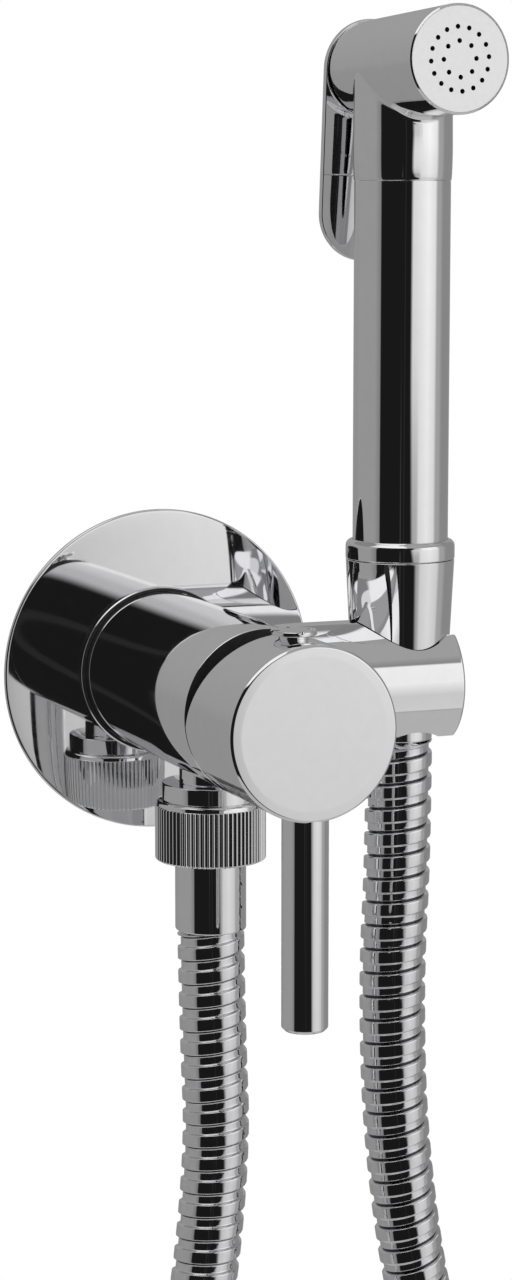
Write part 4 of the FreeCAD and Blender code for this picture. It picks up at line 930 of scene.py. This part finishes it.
# %% Conical nut, ring and tube
CONE_R, CONE_TOP, CONE_END, CONE_TAPER = 12.1, 27.9, -10.0, 0.05
cone_end_r = CONE_R - (CONE_TOP - CONE_END) * CONE_TAPER
STEM_BORE, PLUG_BORE, CONE_BORE, STEM_STEP, PLUG_STEP = 7.45, 9.2, 10.4, 11.75, 15.3
turned("conical_nut", "handset", "cone_nut", (
    (STEM_BORE, CONE_END, 0),
    (cone_end_r, CONE_END, 0.6),
    (CONE_R, CONE_TOP, 0.25),
    (CONE_BORE, CONE_TOP, 0),
    (CONE_BORE, PLUG_STEP, 0),
    (PLUG_BORE, PLUG_STEP, 0),
    (PLUG_BORE, STEM_STEP, 0),
    (STEM_BORE, STEM_STEP, 0),
), "up", HOLDER_AT, segments=160)

TUBE_R, TUBE_LOW, TUBE_TOP, TUBE_BORE = 10.6, 28.0, 111.0, 8.6
PLUG_R, PLUG_END, SOCKET_R, SOCKET_END = 10.3, 15.4, 9.4, 102.0
END_RING_R, END_RING_TOP = 12.15, 32.3
turned("end_ring", "handset", "tube_end_ring", (
    (TUBE_R + 0.05, TUBE_LOW, 0),
    (END_RING_R, TUBE_LOW, 0.25),
    (END_RING_R, END_RING_TOP, 2.0),
    (TUBE_R + 0.05, END_RING_TOP, 0),
), "up", HOLDER_AT, segments=160)

turned("handset_tube_turned", "handset", "handset_tube", (
    (TUBE_BORE, PLUG_END, 0),
    (PLUG_R, PLUG_END, 0),
    (PLUG_R, TUBE_LOW, 0),
    (TUBE_R, TUBE_LOW, 0),
    (TUBE_R, TUBE_TOP, 0.15),
    (SOCKET_R, TUBE_TOP, 0),
    (SOCKET_R, SOCKET_END, 0),
    (TUBE_BORE, SOCKET_END, 0),
), "up", HOLDER_AT, segments=160)

# %% [markdown]
# ## Head
# A short thick bar lies across the top of the tube, a little wider in front, and a neck joins
# the two with a small soft corner. Chrome shows every fault of a corner, so this corner is the
# path of a small ball that rolls round the neck and touches both. Rows of points follow it, first
# up the neck, then round the ball, then out over the head to a border that fits the head's grid.
# The front is hollow with a shallow seat, and a slot behind takes the paddle's hinge.

# %% Head sizes
HEAD_Z = 135.8
HEAD_BACK, HEAD_FRONT = 23.7, 68.7
HEAD_BACK_R, HEAD_FRONT_R = 10.66, 11.5
NECK_STATION, NECK_R, FILLET = -HOLDER_Y, 10.82, 1.5
HEAD_CHAMFER, SEAT_R, HOLLOW_R = 0.4, 11.05, 9.6
HINGE_Y, HINGE_Z = -26.4, 142.4
ROUND, PATCH_SIDE, PATCH_END, PATCH_REACH = 160, 44, 32, 15.0
PATCH_LOW, PATCH_HIGH = NECK_STATION - PATCH_REACH, NECK_STATION + PATCH_REACH
STEP_ANGLE = 2 * math.pi / ROUND
EDGE_COUNT = 2 * PATCH_SIDE
COLUMNS = 2 * (EDGE_COUNT + PATCH_END)
angles = [2 * math.pi * (index - PATCH_END / 2) / COLUMNS for index in range(COLUMNS)]
print("neck columns:", COLUMNS)

# %% Points of the head
def head_radius(station):
    """The head is a slight cone, wider in front."""
    share = (station - HEAD_BACK) / (HEAD_FRONT - HEAD_BACK)
    return HEAD_BACK_R + (HEAD_FRONT_R - HEAD_BACK_R) * share


def head_point(around, station, radius=None):
    """A point of the head; around is 0 below its axis, and stations go to the front."""
    radius = head_radius(station) if radius is None else radius
    return Vector((radius * math.sin(around), station, -radius * math.cos(around)))


def neck_point(angle, radius, height):
    """A point round the neck's axis; its height counts from the head's axis."""
    return Vector((radius * math.cos(angle), NECK_STATION + radius * math.sin(angle), height))


def corner_ball(angle):
    """The middle of the ball that rolls between neck and head, and where it touches both."""
    reach = NECK_R + FILLET
    side, station = reach * math.cos(angle), NECK_STATION + reach * math.sin(angle)
    drop = math.sqrt((head_radius(station) + FILLET) ** 2 - side ** 2)
    around = math.atan2(side, drop)
    return Vector((side, station, -drop)), neck_point(angle, NECK_R, -drop), around, station


def patch_border(index):
    """The patch's border, counted round like the neck's columns, as (around, station)."""
    side_reach = PATCH_SIDE * STEP_ANGLE
    if index <= PATCH_END:
        return side_reach, PATCH_LOW + (PATCH_HIGH - PATCH_LOW) * index / PATCH_END
    index -= PATCH_END
    if index <= EDGE_COUNT:
        return side_reach - index * STEP_ANGLE, PATCH_HIGH
    index -= EDGE_COUNT
    if index <= PATCH_END:
        return -side_reach, PATCH_HIGH - (PATCH_HIGH - PATCH_LOW) * index / PATCH_END
    return -side_reach + (index - PATCH_END) * STEP_ANGLE, PATCH_LOW


print("the ball stands %.2f mm below the head's axis at the side" % -corner_ball(0)[0].z)

# %% [markdown]
# ### Neck and soft corner
# The neck's first points are its end and a slight bulge, as measured in the picture, as radius
# and height. The shares say how far each row has gone on its way up the neck, round the ball and
# out to the border. They are closer together where the surface bends most.

# %% Neck rows
head_maker = bmesh.new()


def head_row(points):
    """Vertices at points that are measured from the head's axis."""
    return [head_maker.verts.new(Vector((HOLDER_X + p.x, -p.y, HEAD_Z + p.z)) * MM) for p in points]


def fan(point, row):
    """Close a round row with triangles to one point."""
    middle = head_row([point])[0]
    for index, vert in enumerate(row):
        head_maker.faces.new((middle, vert, row[(index + 1) % len(row)]))


NECK_PROFILE = (
    (9.35, 102.1), (9.35, 111.05), (10.55, 111.05), (10.65, 111.12),
    (10.71, 111.3), (10.76, 111.7), (10.81, 112.6), (10.86, 113.8),
    (10.90, 115.2), (10.925, 116.8), (10.93, 118.4), (10.91, 120.0),
)
loops = []
for radius, height in NECK_PROFILE:
    loops.append(head_row([neck_point(angle, radius, height - HEAD_Z) for angle in angles]))
fan(Vector((0, NECK_STATION, NECK_PROFILE[0][1] - HEAD_Z)), loops[0])
last_radius, last_height = NECK_PROFILE[-1]
for share in (0.2, 0.4, 0.6, 0.8, 0.93, 1.0):
    row = []
    for angle in angles:
        touch = corner_ball(angle)[1]
        radius = last_radius + (NECK_R - last_radius) * share
        height = (last_height - HEAD_Z) * (1 - share) + touch.z * share
        row.append(neck_point(angle, radius, height))
    loops.append(head_row(row))
for share in (0.15, 0.3, 0.45, 0.6, 0.75, 0.88, 1.0):
    row = []
    for angle in angles:
        centre, touch, around, station = corner_ball(angle)
        end = head_point(around, station) - centre
        row.append(centre + (touch - centre).slerp(end, share).normalized() * FILLET)
    loops.append(head_row(row))
for share in (0.04, 0.1, 0.2, 0.33, 0.5, 0.7, 1.0):
    row = []
    for index, angle in enumerate(angles):
        around, station = corner_ball(angle)[2:]
        far_around, far_station = patch_border(index)
        row.append(head_point(around + (far_around - around) * share,
                              station + (far_station - station) * share))
    loops.append(head_row(row))
for first, second in zip(loops, loops[1:]):
    join_loops(head_maker, first, second)
print("neck rows:", len(loops))

# %% Grid over the head
border = loops[-1]
right_side = border[:PATCH_END + 1]
front_side = border[PATCH_END:PATCH_END + EDGE_COUNT + 1]
left_side = border[PATCH_END + EDGE_COUNT:2 * PATCH_END + EDGE_COUNT + 1]
back_side = border[2 * PATCH_END + EDGE_COUNT:] + [border[0]]
over_steps = range(PATCH_SIDE + 1, ROUND - PATCH_SIDE)
rows = []
for index in range(PATCH_END + 1):
    station = PATCH_LOW + (PATCH_HIGH - PATCH_LOW) * index / PATCH_END
    over = head_row([head_point(step * STEP_ANGLE, station) for step in over_steps])
    rows.append([right_side[index], *over, left_side[PATCH_END - index]])
for first, second in zip(rows, rows[1:]):
    join_loops(head_maker, first, second, closed=False)
print("grid rows:", len(rows))

# %% Ends and cuts of the head
SEAT_STATION, HOLLOW_STATION, BACK_FLAT_R = 66.5, 50.0, 9.0
back_ring = rows[0] + back_side[1:-1]
front_ring = rows[-1] + front_side[::-1][1:-1]
front_profile = rounded((
    (head_radius(PATCH_HIGH), PATCH_HIGH, 0),
    (HEAD_FRONT_R, HEAD_FRONT - HEAD_CHAMFER, 0.4),
    (HEAD_FRONT_R - HEAD_CHAMFER, HEAD_FRONT, 0.3),
    (SEAT_R, HEAD_FRONT, 0),
    (SEAT_R, SEAT_STATION, 0),
    (HOLLOW_R, SEAT_STATION, 0),
    (HOLLOW_R, HOLLOW_STATION, 0),
))
back_profile = rounded((
    (head_radius(PATCH_LOW), PATCH_LOW, 0),
    (HEAD_BACK_R, HEAD_BACK, 0.4),
    (BACK_FLAT_R, HEAD_BACK, 0),
))
ring_steps = range(PATCH_SIDE, PATCH_SIDE + ROUND)
for ring, profile in ((front_ring, front_profile), (back_ring, back_profile)):
    for point in profile[1:]:
        row = head_row([head_point(step * STEP_ANGLE, point.y, point.x) for step in ring_steps])
        join_loops(head_maker, ring, row)
        ring = row
    fan(Vector((0, profile[-1].y, 0)), ring)
head = settle(head_maker, "head_shell")
GLAND_R, GLAND_START, GLAND_END, GLAND_Z = 5.0, 20, 34, HEAD_Z - 1.5
LUG_SLOT_HALF, LUG_SLOT_END, LUG_SLOT_HALF_HEIGHT = 3.1, -28.8, 2.4
lug_outline = oblong((HOLDER_X - LUG_SLOT_HALF, 0), (HOLDER_X + LUG_SLOT_HALF, LUG_SLOT_END))
carve(head,
      bar("gland_hole", GLAND_R, "front", GLAND_START, GLAND_END, (HOLDER_X, 0, GLAND_Z)),
      prism("lug_slot", lug_outline, "up", HINGE_Z - LUG_SLOT_HALF_HEIGHT,
            HINGE_Z + LUG_SLOT_HALF_HEIGHT))
complete(head, "handset", "handset_head")

# %% [markdown]
# ## Spray face
# A pale disc with two rings of small holes. Perforations repeat, so a Geometry Nodes tree drills
# them: it puts a cutter on each point of two circles and takes them all out of the disc. The holes'
# walls take the dark plastic finish, which stands in for the shade inside the holes: painted shade.

# %% Perforation tree
drill = TreeMaker("spray_holes", (
    ("Outer Count", "Int", 16),
    ("Outer Radius", "Float", 0.00668),
    ("Outer Turn", "Float", 0.0),
    ("Inner Count", "Int", 8),
    ("Inner Radius", "Float", 0.00376),
    ("Inner Turn", "Float", 0.0),
    ("Hole Radius", "Float", 0.00053),
    ("Centre", "Vector", None),
    ("Material", "Material", None),
    ("Hole Shade Material", "Material", None),
))
CUTTER_SIDES, CUTTER_DEPTH = 20, 0.006
given = drill.start
blank_cutter = drill.add("GeometryNodeMeshCylinder", Vertices=CUTTER_SIDES, Radius=given["Hole Radius"],
                         Depth=CUTTER_DEPTH)
# painted shade: the cutters' dark finish goes onto the holes' walls
cutter = drill.add("GeometryNodeSetMaterial", Geometry=blank_cutter, Material=given["Hole Shade Material"])
both = drill.add("GeometryNodeJoinGeometry")
for which in ("Outer", "Inner"):
    circle = drill.add("GeometryNodeMeshCircle", Vertices=given[which + " Count"],
                       Radius=given[which + " Radius"])
    spin = drill.add("ShaderNodeCombineXYZ", Z=given[which + " Turn"])
    spun = drill.add("GeometryNodeTransform", Geometry=circle, Rotation=spin)
    drill.tree.links.new(spun.outputs[0], both.inputs[0])
spots = drill.add("GeometryNodeInstanceOnPoints", Points=both, Instance=cutter)
facing = drill.add("GeometryNodeTransform", Geometry=spots, Translation=given["Centre"],
                   Rotation=(math.radians(90), 0, 0))
cutters = drill.add("GeometryNodeRealizeInstances", Geometry=facing)
blank = drill.add("GeometryNodeSetMaterial", Geometry=given["Geometry"], Material=given["Material"])
bored = drill.add("GeometryNodeMeshBoolean", {"operation": "DIFFERENCE"}, n0=blank, n1=cutters)
drill.end(bored, paint=False)

# %% Spray face
FACE_FRONT, FACE_THICK, FACE_R = HEAD_FRONT - 0.1, 1.3, SEAT_R - 0.03
OUTER_TURN, INNER_TURN = 95.0, 92.5
disc = lathe("spray_face_disc", (
    (0, FACE_FRONT - FACE_THICK, 0),
    (FACE_R, FACE_FRONT - FACE_THICK, 0),
    (FACE_R, FACE_FRONT, 0.12),
    (0, FACE_FRONT, 0),
), "front", (HOLDER_X, 0, HEAD_Z))
flat_maker = bmesh.new()
flat_maker.from_mesh(disc.data)
flat_maker.normal_update()
for way in (-1, 1):
    flats = [face for face in flat_maker.faces if face.normal.y * way > 0.999]
    bmesh.ops.dissolve_faces(flat_maker, faces=flats)
flat_maker.to_mesh(disc.data)
flat_maker.free()
disc.data = drill.run_on(disc, {
    "Outer Turn": math.radians(OUTER_TURN),
    "Inner Turn": math.radians(INNER_TURN),
    "Centre": (HOLDER_X * MM, -FACE_FRONT * MM, HEAD_Z * MM),
    "Material": face_plastic,
    # painted shade: the holes' walls are dark plastic, for the shade inside the holes
    "Hole Shade Material": dark_plastic,
})
complete(disc, "handset", "spray_face", None)

# %% [markdown]
# ## Paddle
# A long plate with two round ends lies behind the head and leans away from the tube. A lug on
# its inner side turns on a pin in the head. Its rim is well rounded, as a thumb needs it.

# %% Paddle plate
PADDLE_HALF, PADDLE_THICK, PADDLE_TILT = 11.0, 1.9, 4.8
PADDLE_LOW, PADDLE_HIGH = 92.8, 146.5
INNER_Y, RIM = 3.0, 0.28


def stadium(half, low, high, steps=48):
    """Outline of a plate with two round ends, as (x, z) points."""
    points = []
    for centre, start in ((high - half, 0), (low + half, 180)):
        for step in range(steps + 1):
            angle = math.radians(start + 180 * step / steps)
            points.append((half * math.cos(angle), centre + half * math.sin(angle)))
    return points


paddle_maker = bmesh.new()
levels = []
for depth, inset in (
    (0.0, RIM),
    (RIM * 0.13, RIM * 0.5),
    (RIM * 0.5, RIM * 0.13),
    (RIM, 0.0),
    (PADDLE_THICK - RIM, 0.0),
    (PADDLE_THICK - RIM * 0.5, RIM * 0.13),
    (PADDLE_THICK - RIM * 0.13, RIM * 0.5),
    (PADDLE_THICK, RIM),
):
    shape = stadium(PADDLE_HALF - inset, PADDLE_LOW - HINGE_Z + inset, PADDLE_HIGH - HINGE_Z - inset)
    levels.append([paddle_maker.verts.new((x * MM, (INNER_Y + depth) * MM, z * MM)) for x, z in shape])
for first, second in zip(levels, levels[1:]):
    join_loops(paddle_maker, first, second)
paddle_maker.faces.new(levels[0])
paddle_maker.faces.new(levels[-1])
paddle = settle(paddle_maker, "paddle")
print("paddle plate: %d faces" % len(paddle.data.polygons))

# %% Paddle lug and hinge pin
LUG_HALF, LUG_HALF_HEIGHT, EYE_R, EYE_BORE = 2.8, 1.9, 2.1, 1.05
HINGE_PIN_R, HINGE_PIN_LEFT, HINGE_PIN_RIGHT = 1.0, 6.5, 8.0
lug_profile = oblong((-LUG_HALF, 0), (LUG_HALF, INNER_Y + 0.9))
web = prism("paddle_web", lug_profile, "up", -LUG_HALF_HEIGHT, LUG_HALF_HEIGHT)
eye = bar("paddle_eye", EYE_R, "side", -LUG_HALF, LUG_HALF, MIDDLE, rounding=0.2)
carve(paddle, join=(web, eye))
carve(paddle, bar("paddle_bore", EYE_BORE, "side", -5, 5, MIDDLE))
lean = Matrix.Rotation(math.radians(PADDLE_TILT), 4, "X")
paddle.data.transform(Matrix.Translation(Vector((HOLDER_X, HINGE_Y, HINGE_Z)) * MM) @ lean)
complete(paddle, "lever", "thumb_lever")

hinge_pin = bar("hinge_pin_turned", HINGE_PIN_R, "side", HOLDER_X - HINGE_PIN_LEFT,
                HOLDER_X + HINGE_PIN_RIGHT, (0, HINGE_Y, HINGE_Z), 48, 0.25)
complete(hinge_pin, "handset", "lever_pin", spring_steel)

# %% [markdown]
# ## Studio
# Chrome has no look of its own: it shows the room. The picture was lit by one large soft white
# screen on the right of the lens, with black cloth on its left and grey walls all round. A tent
# round the object carries these, and only reflections see it. Matte pieces are lit by the world
# and one soft lamp at a plain level, and the camera sees a white background.

# %% World
world = bpy.data.worlds.new("studio")
bpy.context.scene.world = world
world.use_nodes = True
sky = world.node_tree
sky.nodes.clear()
rays = add_node(sky, "ShaderNodeLightPath").outputs
WHITE = (1, 1, 1, 1)
seen = rays["Is Camera Ray"]
for kind in ("Is Glossy Ray", "Is Transmission Ray"):
    seen = add_node(sky, "ShaderNodeMath", {"operation": "ADD", "use_clamp": True}, n0=seen, n1=rays[kind])
ambient = add_node(sky, "ShaderNodeBackground", Color=WHITE, Strength=0.75)
backdrop = add_node(sky, "ShaderNodeBackground", Color=WHITE, Strength=1.0)
either = add_node(sky, "ShaderNodeMixShader", n0=seen, n1=ambient, n2=backdrop)
add_node(sky, "ShaderNodeOutputWorld", Surface=either)
bpy.context.scene.view_settings.view_transform = "Standard"
print("world:", world.name)

# %% Soft lamp
key_data = bpy.data.lights.new("soft_key", "AREA")
key_data.shape = "RECTANGLE"
LAMP_SIZE = 1.2
key_data.size = LAMP_SIZE
key_data.size_y = LAMP_SIZE
key_data.energy = 9.0
key = bpy.data.objects.new("soft_key", key_data)
key.location = (0.7, -1.6, 1.1)
KEY_AIM = Vector((0.0, -0.04, -0.1))
key.rotation_euler = (KEY_AIM - key.location).to_track_quat("-Z", "Y").to_euler()
key.visible_glossy = False
bpy.context.scene.collection.objects.link(key)
print("lamp:", key_data.energy, "W")

# %% Floor
FLOOR_R, FLOOR_MIDDLE = 0.75, (0.02, -0.04, -0.52)
floor_maker = bmesh.new()
bmesh.ops.create_circle(floor_maker, cap_ends=True, segments=96, radius=FLOOR_R)
bmesh.ops.translate(floor_maker, verts=floor_maker.verts, vec=FLOOR_MIDDLE)
floor = settle(floor_maker, "floor", outwards=False)
floor.data.materials.append(
    finish("pale_floor", (0.80, 0.80, 0.80), (0.78, 0.78, 0.78), 0.0, 0.6, 0.7, 40))
floor.visible_glossy = False
print("floor at", FLOOR_MIDDLE)

# %% [markdown]
# ## Tent
# The tent is a large sphere whose brightness depends only on the direction. It starts as grey
# walls, and sheets of other brightness are hung in front one after another, each inside its
# edges. An edge is a bearing, counted to the right from straight in front of the wall, or a
# height, both in degrees, with a softness.

# %% Tent sphere
TENT_R = 20.0
tent_maker = bmesh.new()
bmesh.ops.create_uvsphere(tent_maker, u_segments=96, v_segments=48, radius=TENT_R)
bmesh.ops.reverse_faces(tent_maker, faces=tent_maker.faces)
tent = settle(tent_maker, "tent", outwards=False)
for flag in ("visible_camera", "visible_diffuse", "visible_shadow", "visible_transmission",
             "visible_volume_scatter"):
    setattr(tent, flag, False)
tent_material = bpy.data.materials.new("tent_cloth")
tent_material.use_nodes = True
cloth = tent_material.node_tree
cloth.nodes.clear()
print("tent: %d faces" % len(tent.data.polygons))

# %% Sheets and edges
def tent_math(operation, first, second=0.0, third=0.0):
    """One step of arithmetic."""
    return add_node(cloth, "ShaderNodeMath", {"operation": operation}, n0=first, n1=second, n2=third)


def ramp(value, start, end, low, high, kind="LINEAR"):
    """A value that goes from low to high while another goes from start to end."""
    return add_node(cloth, "ShaderNodeMapRange", {"interpolation_type": kind}, Value=value,
                    From_Min=start, From_Max=end, To_Min=low, To_Max=high)


def after(value, place, soft):
    """0 before a place and 1 after it."""
    return ramp(value, place - soft, place + soft, 0.0, 1.0, "SMOOTHSTEP")


def before(value, place, soft):
    """1 before a place and 0 after it."""
    return ramp(value, place - soft, place + soft, 1.0, 0.0, "SMOOTHSTEP")


def between(value, low, low_soft, high, high_soft):
    """Both edges of a band."""
    return after(value, low, low_soft), before(value, high, high_soft)


def sheet(under, level, *edges):
    """Hang a sheet of some brightness in front of what is there, inside its edges."""
    mask = edges[0]
    for edge in edges[1:]:
        mask = tent_math("MULTIPLY", mask, edge)
    change = tent_math("SUBTRACT", level, under)
    return tent_math("MULTIPLY_ADD", mask, change, under)


# %% Grey walls
object_place = add_node(cloth, "ShaderNodeTexCoord").outputs["Object"]
split = add_node(cloth, "ShaderNodeSeparateXYZ", n0=object_place).outputs
TO_DEGREES = 180 / math.pi
minus_y = tent_math("MULTIPLY", split["Y"], -1.0)
azimuth = tent_math("MULTIPLY", tent_math("ARCTAN2", split["X"], minus_y), TO_DEGREES)
height = tent_math("ARCSINE", tent_math("DIVIDE", split["Z"], TENT_R))
height = tent_math("MULTIPLY", height, TO_DEGREES)
back = tent_math("ABSOLUTE", azimuth)

wall = tent_math("ADD", ramp(height, -30.0, -2.0, 0.30, 0.315), ramp(height, 0.0, 30.0, 0.0, 0.04))
# a little darker behind, on the left, and far on the right
room = sheet(wall, tent_math("MULTIPLY", wall, 0.93), after(back, 150.0, 6.0), before(height, 0.0, 4.0))
room = sheet(room, tent_math("MULTIPLY", wall, 0.74), *between(azimuth, -84.0, 8.0, 0.0, 2.0))
room = sheet(room, 0.255, *between(azimuth, 78.0, 8.0, 134.0, 4.0))
room = sheet(room, 0.24, after(back, 100.0, 3.0), after(height, 29.0, 2.0))
print("walls hung")

# %% White screen
screen = tent_math("MULTIPLY", ramp(azimuth, 8.0, 40.0, 0.76, 0.96), ramp(height, -16.0, 4.0, 0.71, 1.03))
screen = tent_math("MULTIPLY", screen, ramp(azimuth, 42.0, 60.0, 1.0, 0.86))
# its lower left border is dimmer, and its upper part is brighter to the right
dim_border = tent_math("MULTIPLY", screen, ramp(azimuth, 14.5, 20.5, 0.62, 1.0))
screen = sheet(screen, dim_border, before(height, -4.0, 2.0))
high_screen = tent_math("ADD", screen, ramp(height, 0.0, 12.0, 0.0, 0.03))
left_share = tent_math("ADD", ramp(azimuth, 13.0, 17.0, 0.60, 0.73), ramp(azimuth, 21.6, 23.2, 0.0, 0.27))
left_part = tent_math("MULTIPLY", screen, left_share)
screen = sheet(high_screen, left_part, after(height, 4.5, 3.5))
# a soft glow round the screen, then the screen itself
room = sheet(room, 0.37, *between(azimuth, 0.0, 2.0, 84.0, 8.0), *between(height, -30.0, 8.0, 34.0, 2.0))
room = sheet(room, screen, *between(azimuth, -5.0, 1.0, 65.0, 5.0), *between(height, -41.0, 1.5, 33.0, 2.0))
print("screen hung")

# %% Black cloth
lean_down = ramp(height, -22.0, -3.0, 18.0, 0.0)
lean_up = ramp(height, 0.0, 22.0, 0.0, 7.0)
cloth_side = tent_math("SUBTRACT", azimuth, tent_math("ADD", lean_down, lean_up))
cloth_heights = between(height, -42.0, 3.0, 50.0, 2.0)
room = sheet(room, 0.010, after(azimuth, -75.5, 1.8), before(cloth_side, 0.0, 4.0), *cloth_heights)
# two faint upright folds in it
room = sheet(room, 0.05, *between(azimuth, -25.0, 1.0, -23.0, 1.0), *between(height, -13.0, 3.0, -4.0, 3.0))
room = sheet(room, 0.022, *between(azimuth, -17.0, 0.5, -15.0, 0.5), *cloth_heights)
print("cloth hung")

# %% Table and ceiling
room = sheet(room, 0.46, before(height, -42.0, 1.5))
room = sheet(room, 0.75, after(height, 62.0, 1.5))
# a bright panel high on the left, a grey one above the screen
room = sheet(room, 0.95, before(azimuth, -5.0, 3.0), after(azimuth, -100.0, 10.0), after(height, 38.0, 2.0))
over_screen = ramp(height, 33.0, 44.0, 0.24, 0.36)
room = sheet(room, over_screen, *between(azimuth, -5.0, 2.0, 116.0, 1.0), after(height, 33.0, 2.0))
# a bright panel high behind on the right, with a dark edge
room = sheet(room, 0.90, *between(azimuth, 117.0, 1.0, 142.0, 6.0), after(height, 48.0, 3.0))
room = sheet(room, 0.05, *between(azimuth, 113.0, 0.7, 117.0, 0.7), after(height, 48.0, 3.0))

glow = add_node(cloth, "ShaderNodeEmission", Strength=room)
add_node(cloth, "ShaderNodeOutputMaterial", Surface=glow)
tent.data.materials.append(tent_material)
print("tent nodes:", len(cloth.nodes))
